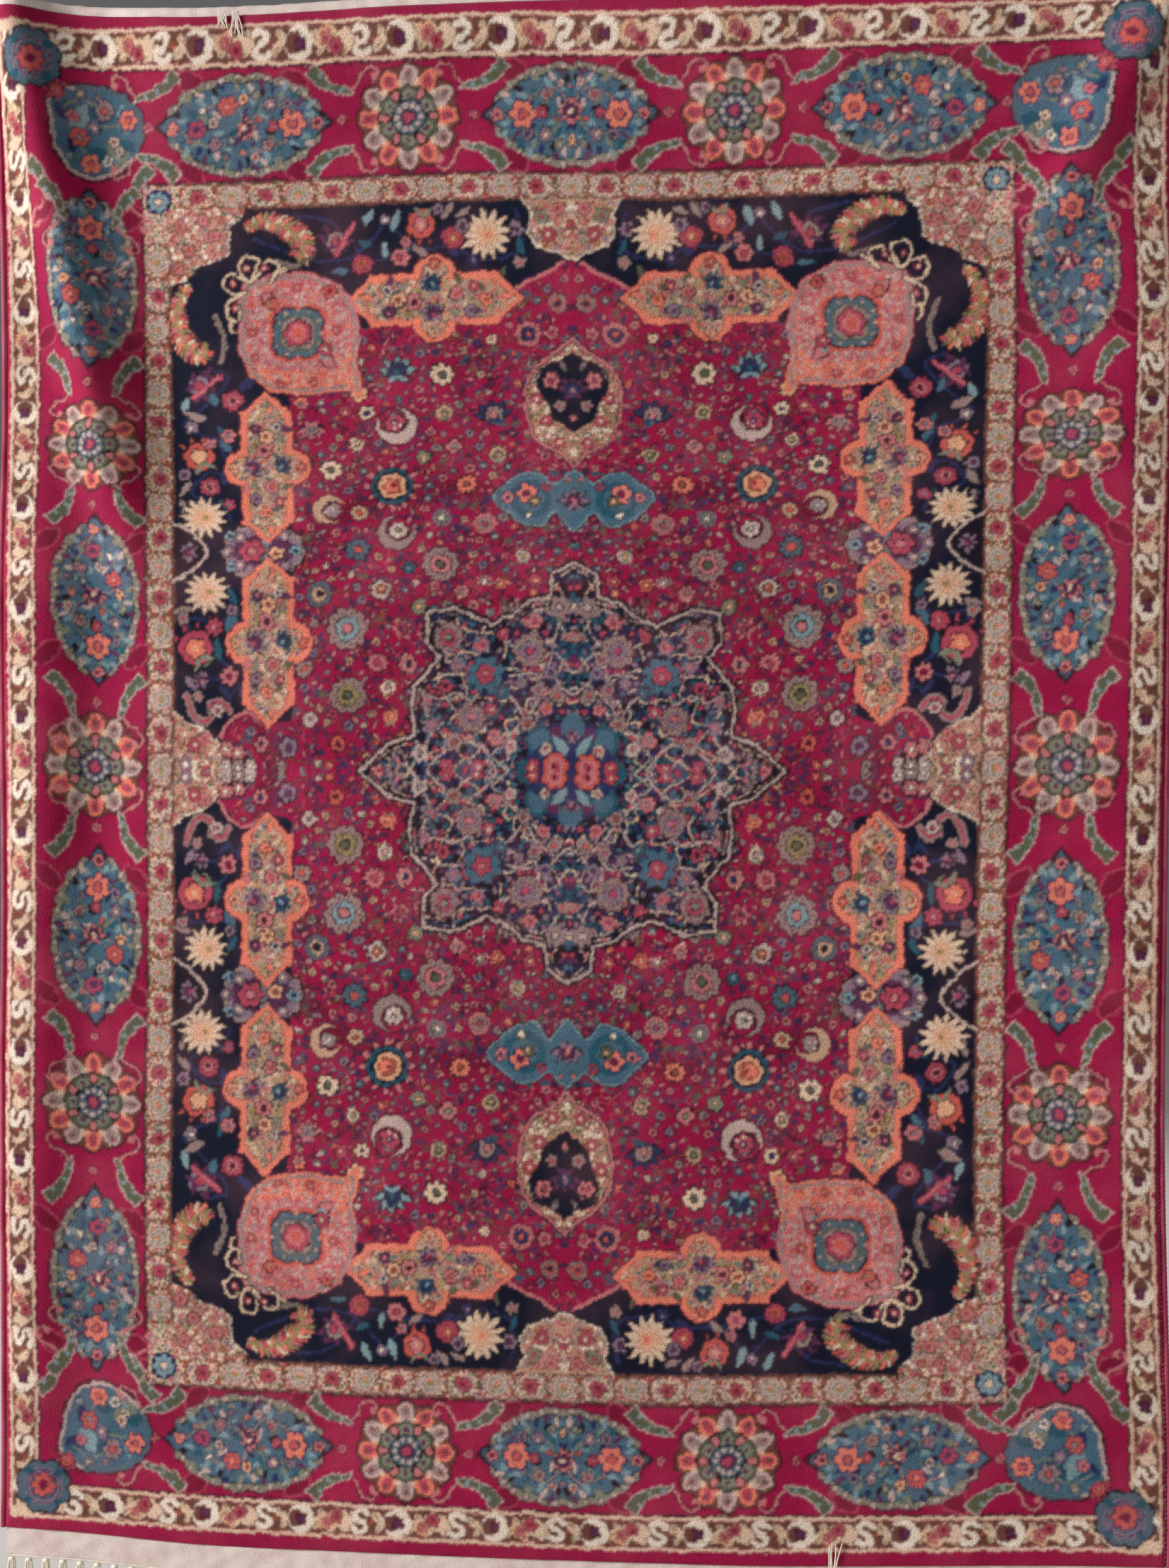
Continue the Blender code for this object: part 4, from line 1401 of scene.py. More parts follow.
@dataclass
class Weave:
    """The whole rug's colours, from the quarter and the running guard.

    Args:
        softening: How far neighbouring knots blend, in squares.
        seed: Seed for the strays.
    """

    softening: float = 0.85
    seed: int = 7

    def unevenly(self, squares: Array) -> Array:
        """Let knots stray from the cartoon, singly and by the clump, as a weaver's do.

        Args:
            squares: The cartoon as it is drawn.

        Returns:
            The cartoon as it is woven.
        """
        draws = np.random.default_rng(self.seed)
        places = np.indices(squares.shape).astype(np.float32)
        for clump, stray in ((3, 0.6), (8, 0.8)):
            coarse = tuple(size // clump + 1 for size in squares.shape)
            shifts = draws.normal(0.0, stray, (2, *coarse))
            shifts = shifts.repeat(clump, axis=1).repeat(clump, axis=2)
            places += shifts[:, :squares.shape[0], :squares.shape[1]]
        rows, columns = (np.clip(np.rint(place), 0, size - 1).astype(int)
                         for place, size in zip(places, squares.shape))
        return squares[rows, columns]

    def squares(self) -> Array:
        """Return the whole cartoon, in rows from the top edge of the pile."""
        quarter = Quarter().draw_all()
        half = np.concatenate((quarter[:, ::-1], quarter), axis=1)
        whole = np.concatenate((half[::-1], half), axis=0)
        corners = whole.copy()
        CreamGuard().work(whole)
        for rows in (slice(0, 100), slice(-100, None)):
            for columns in (slice(0, 90), slice(-90, None)):
                blue = np.isin(corners[rows, columns], [
                    wool.number for wool in (SHADOW, SLATE, LILAC, INDIGO,
                                             TEAL, CORAL, PLUM, MADDER)])
                whole[rows, columns] = np.where(blue, corners[rows, columns],
                                                whole[rows, columns])
        return self.unevenly(whole)

    def colours(self) -> Array:
        """Return the colour of every square, as linear light."""
        dyes = np.array([linear(wool.value) for wool in Wool], dtype=np.float32)
        picture = dyes[self.squares()]
        reach = int(math.ceil(3.0 * self.softening))
        steps = np.arange(-reach, reach + 1)
        weights = np.exp(-0.5 * (steps / self.softening) ** 2)
        weights /= weights.sum()
        for axis in (0, 1):
            blended = np.zeros_like(picture)
            for step, weight in zip(steps, weights):
                blended += weight * np.roll(picture, step, axis=axis)
            picture = blended
        return picture


# ---------------------------------------------------------------- the drape


def eased(place: Array, table: Sequence[Point]) -> Array:
    """Return a table's value at each place, eased from one row to the next.

    Args:
        place: The places.
        table: Rows of place and value.

    Returns:
        The values.
    """
    place = np.clip(place, table[0][0], table[-1][0])
    value = np.zeros_like(place)
    for (start, before), (end, after) in zip(table, table[1:]):
        ease = 0.5 - 0.5 * np.cos(np.pi * (place - start) / (end - start))
        inside = (place >= start) & (place <= end)
        value = np.where(inside, before + (after - before) * ease, value)
    return value


@dataclass(frozen=True)
class Fold:
    """A fold with a straight crest, in cloth coordinates and metres.

    Args:
        head: Where the crest starts, across and down.
        foot: Where it ends.
        spread: Its half width.
        height: How far it stands out.
        fade: How far past its ends it dies away.
    """

    head: Point
    foot: Point
    spread: float
    height: float
    fade: float

    def lift(self, across: Array, down: Array) -> tuple[Array, Array]:
        """Return how far it brings points out, and draws them sideways."""
        run_x, run_s = self.foot[0] - self.head[0], self.foot[1] - self.head[1]
        length = math.hypot(run_x, run_s)
        along = ((across - self.head[0]) * run_x + (down - self.head[1]) * run_s) / length
        side = ((across - self.head[0]) * run_s - (down - self.head[1]) * run_x) / length
        past_end = np.maximum(np.maximum(-along, along - length), 0.0)
        rise = self.height * np.exp(-((past_end / self.fade) ** 2))
        taken_up = 0.3133 * rise**2 / self.spread
        drawn = -taken_up * np.tanh(1.5 * side / self.spread) * run_s / length
        return rise * np.exp(-((side / self.spread) ** 2)), drawn


@dataclass
class Drape:
    """How the rug hangs, the same as in the solids.

    Args:
        width: Width of the pile.
        length: Length of the pile.
        rise: How far the upper kilim stands up before it turns back.
        turn_radius: Radius at which it turns back.
        lean: How far the foot leans sideways.
        top_edge: Drop of the top edge, across and drop.
        bottom_edge: Drop of the foot, across and drop.
        left_side: Spread of the left side, down and spread.
        right_side: Spread of the right side, down and spread.
        folds: The folds.
    """

    width: float = 1.480
    length: float = 2.000
    rise: float = 0.006
    turn_radius: float = 0.009
    lean: float = -0.014
    top_edge: Sequence[Point] = (
        (-0.75, 0.002), (-0.46, 0.016), (-0.14, 0.008), (0.37, 0.009), (0.75, 0.010))
    bottom_edge: Sequence[Point] = ((-0.75, -0.003), (-0.40, 0.013), (0.15, 0.015), (0.75, -0.001))
    left_side: Sequence[Point] = ((0.00, 0.026), (0.65, 0.016), (1.30, 0.003), (2.00, -0.010))
    right_side: Sequence[Point] = (
        (0.00, 0.020), (0.28, 0.017), (0.85, 0.006), (1.40, 0.003), (2.00, 0.018))
    folds: Sequence[Fold] = (
        Fold((-0.715, 0.030), (-0.618, 0.500), 0.042, 0.027, 0.220),
        Fold((-0.600, 0.050), (-0.500, 0.560), 0.055, -0.006, 0.150),
        Fold((-0.690, 0.750), (-0.700, 1.700), 0.045, 0.012, 0.200),
        Fold((-0.600, 0.780), (-0.610, 1.050), 0.050, -0.007, 0.160),
        Fold((0.735, 0.010), (0.620, 0.240), 0.038, 0.016, 0.090),
        Fold((0.690, 0.300), (0.705, 1.500), 0.060, 0.008, 0.260),
        Fold((-0.480, 0.032), (0.160, 0.030), 0.024, 0.009, 0.120),
        Fold((0.280, 0.500), (0.330, 1.300), 0.150, -0.008, 0.350),
        Fold((-0.240, 1.100), (-0.150, 1.700), 0.170, 0.009, 0.300),
    )

    def middle_of_weave(self, across: Array, down: Array) -> Array:
        """Return where points on the middle of the weave hang.

        Args:
            across: Places across the cloth.
            down: Places down the cloth.

        Returns:
            Their hung places, before the whole is brought to the origin.
        """
        on_pile = np.clip(down, 0.0, self.length)
        out, drawn = np.zeros_like(on_pile), np.zeros_like(on_pile)
        for fold in self.folds:
            fold_out, fold_drawn = fold.lift(across, on_pile)
            out, drawn = out + fold_out, drawn + fold_drawn
        hang = on_pile / self.length
        drop = eased(across, self.top_edge) * (1.0 - hang)
        drop += eased(across, self.bottom_edge) * hang
        spread = np.where(across < 0.0, eased(on_pile, self.left_side),
                          eased(on_pile, self.right_side))
        x = across + drawn + spread * across / (0.5 * self.width) + self.lean * hang**2
        past = -down - self.rise
        angle = np.clip(past / self.turn_radius, 0.0, np.pi)
        beyond = np.maximum(past - np.pi * self.turn_radius, 0.0)
        turned = past > 0.0
        y = -out + np.where(turned, self.turn_radius * (1.0 - np.cos(angle)), 0.0)
        above = self.rise + self.turn_radius * np.sin(angle) - beyond
        z = -drop + np.where(turned, above, -down)
        return np.stack((x, y, z), axis=-1)

    def hang(self, cloth: Array) -> Array:
        """Return the hung places of points given across, up and out.

        Args:
            cloth: Rows of across, minus down, and out.

        Returns:
            Their places in the frame.
        """
        across, down, out = cloth[:, 0], -cloth[:, 1], cloth[:, 2:]
        step = 0.0005
        right = self.middle_of_weave(across + step, down)
        right = right - self.middle_of_weave(across - step, down)
        below = self.middle_of_weave(across, down + step)
        below = below - self.middle_of_weave(across, down - step)
        normal = np.cross(below, right)
        normal /= np.linalg.norm(normal, axis=1, keepdims=True)
        crest = np.array([-self.rise - 0.5 * np.pi * self.turn_radius])
        hung_from = self.middle_of_weave(np.zeros(1), crest)
        return self.middle_of_weave(across, down) + normal * out - hung_from


DRAPE = Drape()


# --------------------------------------------------------------- the meshes


def flat_places(data: bpy.types.Mesh) -> Array:
    """Return a mesh's vertex places as rows."""
    places = np.empty(3 * len(data.vertices), dtype=np.float32)
    data.vertices.foreach_get("co", places)
    return places.reshape(-1, 3).astype(np.float64)


def make_piece(name: str, mesh: bmesh.types.BMesh, finishes: Sequence[bpy.types.Material],
               smooth_below: float = 50.0) -> bpy.types.Object:
    """Turn a flat piece into an object with its finishes, and drape it.

    Args:
        name: Name of the piece.
        mesh: The piece, its x across, its y up and its z out.
        finishes: Its materials, in the order of its material numbers.
        smooth_below: Edges blunter than this angle are smooth, in degrees.

    Returns:
        The hung piece.
    """
    bmesh.ops.recalc_face_normals(mesh, faces=mesh.faces)
    if mesh.calc_volume(signed=True) < 0.0:
        bmesh.ops.reverse_faces(mesh, faces=mesh.faces)
    data = bpy.data.meshes.new(name)
    mesh.to_mesh(data)
    mesh.free()
    for finish in finishes:
        data.materials.append(finish)
    cloth = flat_places(data)
    corners = data.attributes.new("cloth", "FLOAT_VECTOR", "POINT")
    corners.data.foreach_set("vector", cloth.astype(np.float32).ravel())
    data.vertices.foreach_set("co", DRAPE.hang(cloth).astype(np.float32).ravel())
    data.shade_smooth()
    data.set_sharp_from_angle(angle=math.radians(smooth_below))
    data.update()
    piece = bpy.data.objects.new(name, data)
    bpy.context.scene.collection.objects.link(piece)
    LOG.info("%s: %d faces", name, len(data.polygons))
    return piece


def tube(sides: int, rows: int, foot: float, head: float) -> bpy.types.Mesh:
    """Return an upright closed tube, one high and centred, as a pattern to copy.

    Args:
        sides: Sides of its section.
        rows: Rows of faces along it.
        foot: Radius at its lower end.
        head: Radius at its upper end.

    Returns:
        The tube's mesh.
    """
    mesh = bmesh.new()
    bmesh.ops.create_cone(mesh, cap_ends=True, segments=sides, radius1=foot, radius2=head,
                          depth=1.0)
    long_edges = [edge for edge in mesh.edges if edge.calc_length() > 0.5]
    bmesh.ops.subdivide_edges(mesh, edges=long_edges, cuts=rows - 1, use_grid_fill=True)
    data = bpy.data.meshes.new("pattern")
    mesh.to_mesh(data)
    mesh.free()
    return data


def add_copy(mesh: bmesh.types.BMesh, pattern: bpy.types.Mesh) -> list[bmesh.types.BMVert]:
    """Add a copy of a pattern to a mesh, and return the copy's vertices."""
    mesh.from_mesh(pattern)
    mesh.verts.ensure_lookup_table()
    return mesh.verts[-len(pattern.vertices):]


def rng_waves(seed: int, count: int, shortest: float, longest: float) -> Array:
    """Return rows of wave vector across, wave vector down and phase."""
    draws = np.random.default_rng(seed)
    angles = draws.uniform(0.0, np.pi, count)
    lengths = draws.uniform(shortest, longest, count)
    waves = 2.0 * np.pi / lengths
    return np.stack((waves * np.cos(angles), waves * np.sin(angles),
                     draws.uniform(0.0, 2.0 * np.pi, count)), axis=1)


def ripple(across: Array, down: Array, waves: Array) -> Array:
    """Return an uneven height from a set of waves, about one at most."""
    height = np.zeros_like(across)
    for wave_x, wave_s, phase in waves:
        height += np.sin(wave_x * across + wave_s * down + phase)
    return height / math.sqrt(0.5 * len(waves)) / 2.0


@dataclass
class PileCourses:
    """The knotted body, made in full-width courses one above the other.

    Args:
        width: Width of the pile.
        length: Length of the pile.
        pile: Height of the pile over the middle of the weave.
        back: Thickness behind the middle of the weave.
        courses: Number of courses.
        knots: Knots across and down one course, on the face.
        back_knots: Squares across and down one course, on the back.
        unevenness: How far the clipped pile is uneven.
        rim: How far in from the edge the pile is rounded down.
    """

    width: float = 1.480
    length: float = 2.000
    pile: float = 0.005
    back: float = 0.003
    courses: int = 5
    knots: tuple[int, int] = (493, 133)
    back_knots: tuple[int, int] = (185, 50)
    unevenness: float = 0.0006
    rim: float = 0.005
    #: Places up from the middle on the cloth, and on the cartoon, in millimetres.
    weave_drift: Sequence[Point] = (
        (-1000, -1000), (-200, -200), (6, 0), (75, 62), (169, 158), (238, 222), (340, 335),
        (403, 406), (497, 513), (580, 600), (742, 758), (778, 797), (928, 936), (980, 980),
        (1000, 1000))

    def build(self, colours: Array, finishes: Sequence[bpy.types.Material],
              ) -> Iterator[bpy.types.Object]:
        """Make the courses, from the top down.

        Args:
            colours: The cartoon's colours.
            finishes: The pile and the woven back.

        Yields:
            Each course.
        """
        height = self.length / self.courses
        for number in range(self.courses):
            mesh = self.slab(number * height, height)
            piece = make_piece(f"pile_course_{number + 1}", mesh, finishes)
            self.colour(piece.data, colours, number * height, height)
            yield piece

    def slab(self, start: float, height: float) -> bmesh.types.BMesh:
        """Return one flat course, closed all round."""
        mesh = bmesh.new()
        bmesh.ops.create_grid(mesh, x_segments=self.knots[0], y_segments=self.knots[1], size=0.5)
        for vertex in mesh.verts:
            vertex.co.z = self.pile
        face_rim = [edge for edge in mesh.edges if edge.is_boundary]
        made = bmesh.ops.create_grid(mesh, x_segments=self.back_knots[0],
                                     y_segments=self.back_knots[1], size=0.5)
        for vertex in made["verts"]:
            vertex.co.z = -self.back
        back_rim = [edge for edge in mesh.edges
                    if edge.is_boundary and edge.verts[0].co.z < 0.0]
        for face in mesh.faces:
            face.material_index = 1 if face.verts[0].co.z < 0.0 else 0
        walls = bmesh.ops.bridge_loops(mesh, edges=face_rim + back_rim)["faces"]
        for wall in walls:
            wall.material_index = 1
        bmesh.ops.recalc_face_normals(mesh, faces=mesh.faces)
        waves = rng_waves(5, 14, 0.03, 0.16)
        places = np.array([vertex.co for vertex in mesh.verts])
        across = places[:, 0] * self.width
        down = start + (0.5 - places[:, 1]) * height
        out = places[:, 2]
        from_edge = np.minimum(0.5 * self.width - np.abs(across),
                               np.minimum(down, self.length - down))
        sunk = 0.0022 * np.clip(1.0 - from_edge / self.rim, 0.0, 1.0) ** 2
        uneven = self.unevenness * ripple(across, down, waves)
        out = np.where(out > 0.0, out - sunk + np.minimum(uneven, 0.0004), out)
        for vertex, place in zip(mesh.verts, np.stack((across, -down, out), axis=1)):
            vertex.co = place
        return mesh

    def cartoon_colour(self, colours: Array, across: Array, down: Array) -> Array:
        """Return the cartoon's colour at places on the cloth.

        Args:
            colours: The cartoon's colours.
            across: Places across, in metres.
            down: Places down, in metres.

        Returns:
            Rows of red, green and blue.
        """
        cloth, drawn = zip(*self.weave_drift)
        up = np.interp(1000.0 * (0.5 * self.length - down), cloth, drawn)
        up = up + 1.6 * np.sin(7.3 * across + 1.0) + 0.8 * np.sin(17.0 * across)
        side = 1000.0 * across + 1.4 * np.sin(5.1 * down + 0.6) + 0.7 * np.sin(13.0 * down)
        column = np.clip(side + 0.5 * colours.shape[1] - 0.5, 0, colours.shape[1] - 1.001)
        row = np.clip(0.5 * colours.shape[0] - up - 0.5, 0, colours.shape[0] - 1.001)
        left, top = column.astype(int), row.astype(int)
        share_x, share_y = (column - left)[:, None], (row - top)[:, None]
        upper = colours[top, left] * (1 - share_x) + colours[top, left + 1] * share_x
        lower = colours[top + 1, left] * (1 - share_x) + colours[top + 1, left + 1] * share_x
        return upper * (1 - share_y) + lower * share_y

    def colour(self, data: bpy.types.Mesh, colours: Array, start: float, height: float) -> None:
        """Give a course its knots' colours, and its place on the baked map.

        Args:
            data: The course.
            colours: The cartoon's colours.
            start: Where the course starts, down the cloth.
            height: Its height.
        """
        cloth = np.empty(3 * len(data.vertices), dtype=np.float32)
        data.attributes["cloth"].data.foreach_get("vector", cloth)
        cloth = cloth.reshape(-1, 3)
        vertex_of = np.empty(len(data.loops), dtype=np.int32)
        data.loops.foreach_get("vertex_index", vertex_of)
        corners = np.empty(len(data.polygons), dtype=np.int32)
        data.polygons.foreach_get("loop_total", corners)
        material = np.empty(len(data.polygons), dtype=np.int32)
        data.polygons.foreach_get("material_index", material)
        face_of = np.repeat(np.arange(len(corners)), corners)
        places = cloth[vertex_of, :2].astype(np.float64)
        middles = np.stack([np.bincount(face_of, places[:, axis]) / corners
                            for axis in (0, 1)], axis=1)[face_of]
        inward = places + 0.35 * (middles - places)
        shade = np.ones((len(places), 4), dtype=np.float32)
        shade[:, :3] = self.cartoon_colour(colours, inward[:, 0], -inward[:, 1])
        knots = data.color_attributes.new("knots", "FLOAT_COLOR", "CORNER")
        knots.data.foreach_set("color", shade.ravel())
        share_x = (places[:, 0] + 0.5 * self.width) / self.width
        share_y = 1.0 - (-places[:, 1] - start) / height
        right_half = middles[:, 0] > 0.0
        face_u = 2.0 * share_x - right_half
        face_v = 0.4 * (share_y + right_half)
        is_back = material[face_of] == 1
        flat = np.stack((np.where(is_back, share_x, face_u),
                         np.where(is_back, 0.8 + 0.2 * share_y, face_v)), axis=1)
        layer = data.uv_layers.new(name="OFBake")
        layer.data.foreach_set("uv", np.clip(flat, 0.0, 1.0).astype(np.float32).ravel())


@dataclass
class Selvedge:
    """An overcast side edge: a round cord of wool wound about the last warps.

    Args:
        radius: Radius of the cord.
        gap: Space between it and the pile.
        wraps: Number of turns of the wool.
        sides: Sides of the cord's section.
    """

    radius: float = 0.0045
    gap: float = 0.0003
    wraps: int = 330
    sides: int = 8

    def build(self, side: float, name: str, finish: bpy.types.Material) -> bpy.types.Object:
        """Make the cord on one side of the rug.

        Args:
            side: Minus one for the left, one for the right.
            name: Name of the piece.
            finish: Its material.

        Returns:
            The piece.
        """
        mesh = bmesh.new()
        rows = 3 * self.wraps
        cord = add_copy(mesh, tube(self.sides, rows, self.radius, self.radius))
        centre = side * (0.5 * DRAPE.width + self.gap + self.radius)
        draws = np.random.default_rng(3 if side < 0 else 4)
        fullness = 1.0 - 0.06 * draws.random(rows + 1)
        for vertex in cord:
            along = vertex.co.z + 0.5
            angle = math.atan2(vertex.co.y, vertex.co.x)
            wound = 0.5 + 0.5 * math.cos(2.0 * math.pi * self.wraps * along + angle)
            size = (0.86 + 0.14 * wound) * fullness[round(along * rows)]
            place = Vector((centre + size * vertex.co.x, -DRAPE.length * along,
                            size * vertex.co.y))
            vertex.co = place
        return make_piece(name, mesh, (finish,), 80.0)


@dataclass
class KilimEnd:
    """A flat-woven cream end of the rug.

    Args:
        start: Where it starts, down the cloth.
        end: Where it ends.
        thickness: Its thickness.
        columns: Squares across.
        rows: Squares along.
    """

    start: float
    end: float
    thickness: float = 0.0024
    columns: int = 420
    rows: int = 12

    def build(self, name: str, finish: bpy.types.Material) -> bpy.types.Object:
        """Make the flat weave, a little puckered between its wefts.

        Args:
            name: Name of the piece.
            finish: Its material.

        Returns:
            The piece.
        """
        mesh = bmesh.new()
        bmesh.ops.create_grid(mesh, x_segments=self.columns, y_segments=self.rows, size=0.5)
        waves = rng_waves(8, 10, 0.012, 0.06)
        bmesh.ops.solidify(mesh, geom=mesh.faces[:], thickness=self.thickness)
        places = np.array([vertex.co for vertex in mesh.verts])
        out = places[:, 2] - places[:, 2].mean()
        across = places[:, 0] * DRAPE.width
        down = self.start + (self.end - self.start) * (0.5 - places[:, 1])
        out += 0.0005 * ripple(across, down, waves)
        for vertex, place in zip(mesh.verts, np.stack((across, -down, out), axis=1)):
            vertex.co = place
        return make_piece(name, mesh, (finish,), 60.0)


@dataclass
class Fringe:
    """A comb of tassels, each a knot of warps with its loose strands.

    Args:
        start: Where the knots stand, down the cloth.
        reach: How far the strands run on, negative where they run upwards.
        tassels: Number of tassels.
        share: Part of the pitch that a tassel takes.
        strands: Strands in a tassel.
        strand_radius: Radius of a strand.
        seed: Seed for how the strands fall.
        flopped: Places across of tassels that lie over the pile; not used.
    """

    start: float
    reach: float
    tassels: int = 64
    share: float = 0.62
    strands: int = 7
    strand_radius: float = 0.0015
    seed: int = 21
    flopped: Sequence[float] = ()

    def build(self, name: str, finish: bpy.types.Material) -> bpy.types.Object:
        """Make the comb.

        Args:
            name: Name of the piece.
            finish: Its material.

        Returns:
            The piece.
        """
        draws = np.random.default_rng(self.seed)
        mesh = bmesh.new()
        pitch = DRAPE.width / (self.tassels - 1 + self.share)
        self.header(mesh)
        pattern = tube(4, 8, 0.45 * self.strand_radius, self.strand_radius)
        for number in range(self.tassels):
            middle = -0.5 * DRAPE.width + pitch * (number + 0.5 * self.share)
            self.tassel(mesh, pattern, middle, 0.5 * pitch * self.share, draws)
        return make_piece(name, mesh, (finish,), 70.0)

    def header(self, mesh: bmesh.types.BMesh) -> None:
        """Lay the twined cord that the tassels hang from."""
        inward = math.copysign(0.0019, self.reach)
        for vertex in add_copy(mesh, tube(6, 300, 0.0018, 0.0018)):
            along = vertex.co.z + 0.5
            twine = 1.0 + 0.14 * math.cos(2.0 * math.pi * 75 * along)
            vertex.co = Vector((DRAPE.width * (along - 0.5) * 0.998,
                                -(self.start + inward) + twine * vertex.co.x,
                                twine * vertex.co.y))

    def tassel(self, mesh: bmesh.types.BMesh, pattern: bpy.types.Mesh, middle: float,
               half: float, draws: np.random.Generator) -> None:
        """Make one tassel.

        Args:
            mesh: The comb.
            pattern: The straight tube that its strands are bent from.
            middle: Its place across.
            half: Half its width.
            draws: Where its unevenness comes from.
        """
        direction = math.copysign(1.0, self.reach)
        made = bmesh.ops.create_icosphere(mesh, subdivisions=1, radius=1.0)
        for vertex in made["verts"]:
            x, y, z = vertex.co
            vertex.co = Vector((middle + 0.0058 * x,
                                -(self.start + direction * (0.0065 + 0.0042 * y)),
                                0.0021 * z))
        full = abs(self.reach) * draws.uniform(0.86, 0.985)
        lean = draws.uniform(-0.20, 0.20) * half
        for number in range(self.strands):
            place = 2.0 * number / (self.strands - 1) - 1.0
            self.strand(mesh, pattern, middle, half, place, direction * full * draws.uniform(0.9, 1.0),
                        lean, draws)

    def strand(self, mesh: bmesh.types.BMesh, pattern: bpy.types.Mesh, middle: float,
               half: float, place: float, reach: float, lean: float,
               draws: np.random.Generator) -> None:
        """Make one strand, from the knot to its frayed tip.

        Args:
            mesh: The comb.
            pattern: The straight tube that it is bent from.
            middle: The tassel's place across.
            half: Half the tassel's width.
            place: The strand's place in it, from minus one to one.
            reach: How far it runs down the cloth.
            lean: How far its tip leans across.
            draws: Where its unevenness comes from.
        """
        wave, phase = draws.uniform(1.0, 2.2), draws.uniform(0.0, 6.3)
        stray = draws.uniform(-0.0012, 0.0012)
        depth = draws.uniform(-0.0011, 0.0011)
        for vertex in add_copy(mesh, pattern):
            down = 0.5 - vertex.co.z
            spread = place * half * (0.5 + 0.44 * min(1.0, 2.2 * down) - 0.14 * down)
            sway = 0.0011 * down * math.sin(2.0 * math.pi * wave * down + phase)
            vertex.co = Vector((middle + spread + sway + (lean + stray) * down + vertex.co.x,
                                -(self.start + math.copysign(0.008, reach)
                                  + (reach - math.copysign(0.008, reach)) * down),
                                depth * (0.4 + 0.6 * down) + vertex.co.y))


@dataclass
class LooseTassel:
    """A tassel that has flopped over the face of the pile.

    Args:
        foot: Where it comes over the edge, across and down.
        tip: Where it ends, across and down.
        strands: Strands in it.
        width: Its width.
        lift: How far it stands off the middle of the weave.
    """

    foot: Point
    tip: Point
    strands: int = 6
    width: float = 0.016
    lift: float = 0.0070

    def build(self, name: str, finish: bpy.types.Material, seed: int) -> bpy.types.Object:
        """Make the tassel.

        Args:
            name: Name of the piece.
            finish: Its material.
            seed: Seed for how its strands fall.

        Returns:
            The piece.
        """
        draws = np.random.default_rng(seed)
        mesh = bmesh.new()
        pattern = tube(5, 10, 0.0012, 0.0007)
        for number in range(self.strands):
            place = 2.0 * number / (self.strands - 1) - 1.0
            phase = draws.uniform(0.0, 6.3)
            full = draws.uniform(0.82, 1.0)
            for vertex in add_copy(mesh, pattern):
                share = (vertex.co.z + 0.5) * full
                across = self.foot[0] + (self.tip[0] - self.foot[0]) * share
                across += 0.5 * self.width * place * (0.35 + 0.65 * share)
                across += 0.002 * share * math.sin(5.0 * share + phase)
                down = self.foot[1] + (self.tip[1] - self.foot[1]) * share
                vertex.co = Vector((across + vertex.co.x, -down, self.lift + vertex.co.y))
        return make_piece(name, mesh, (finish,), 70.0)


# ------------------------------------------------------------- the finishes


class Socket:
    """A node's output, on which maths can be written as Python expressions."""

    def __init__(self, tree: bpy.types.NodeTree, output: bpy.types.NodeSocket) -> None:
        """Wrap an output of a node tree."""
        self.tree = tree
        self.output = output

    def maths(self, operation: str, first: "Value", second: "Value") -> "Socket":
        """Add a Math node."""
        node = self.tree.nodes.new("ShaderNodeMath")
        node.operation = operation
        for socket, value in zip(node.inputs, (first, second)):
            join(self.tree, socket, value)
        return Socket(self.tree, node.outputs[0])

    def __add__(self, other: "Value") -> "Socket":
        """Add."""
        return self.maths("ADD", self, other)

    def __sub__(self, other: "Value") -> "Socket":
        """Take away."""
        return self.maths("SUBTRACT", self, other)

    def __rsub__(self, other: "Value") -> "Socket":
        """Take away from a number."""
        return self.maths("SUBTRACT", other, self)

    def __mul__(self, other: "Value") -> "Socket":
        """Multiply."""
        return self.maths("MULTIPLY", self, other)

    __radd__ = __add__
    __rmul__ = __mul__


Value = Socket | float | tuple


def join(tree: bpy.types.NodeTree, socket: bpy.types.NodeSocket, value: Value) -> None:
    """Link a socket, or set its value."""
    if isinstance(value, Socket):
        tree.links.new(value.output, socket)
    else:
        socket.default_value = value


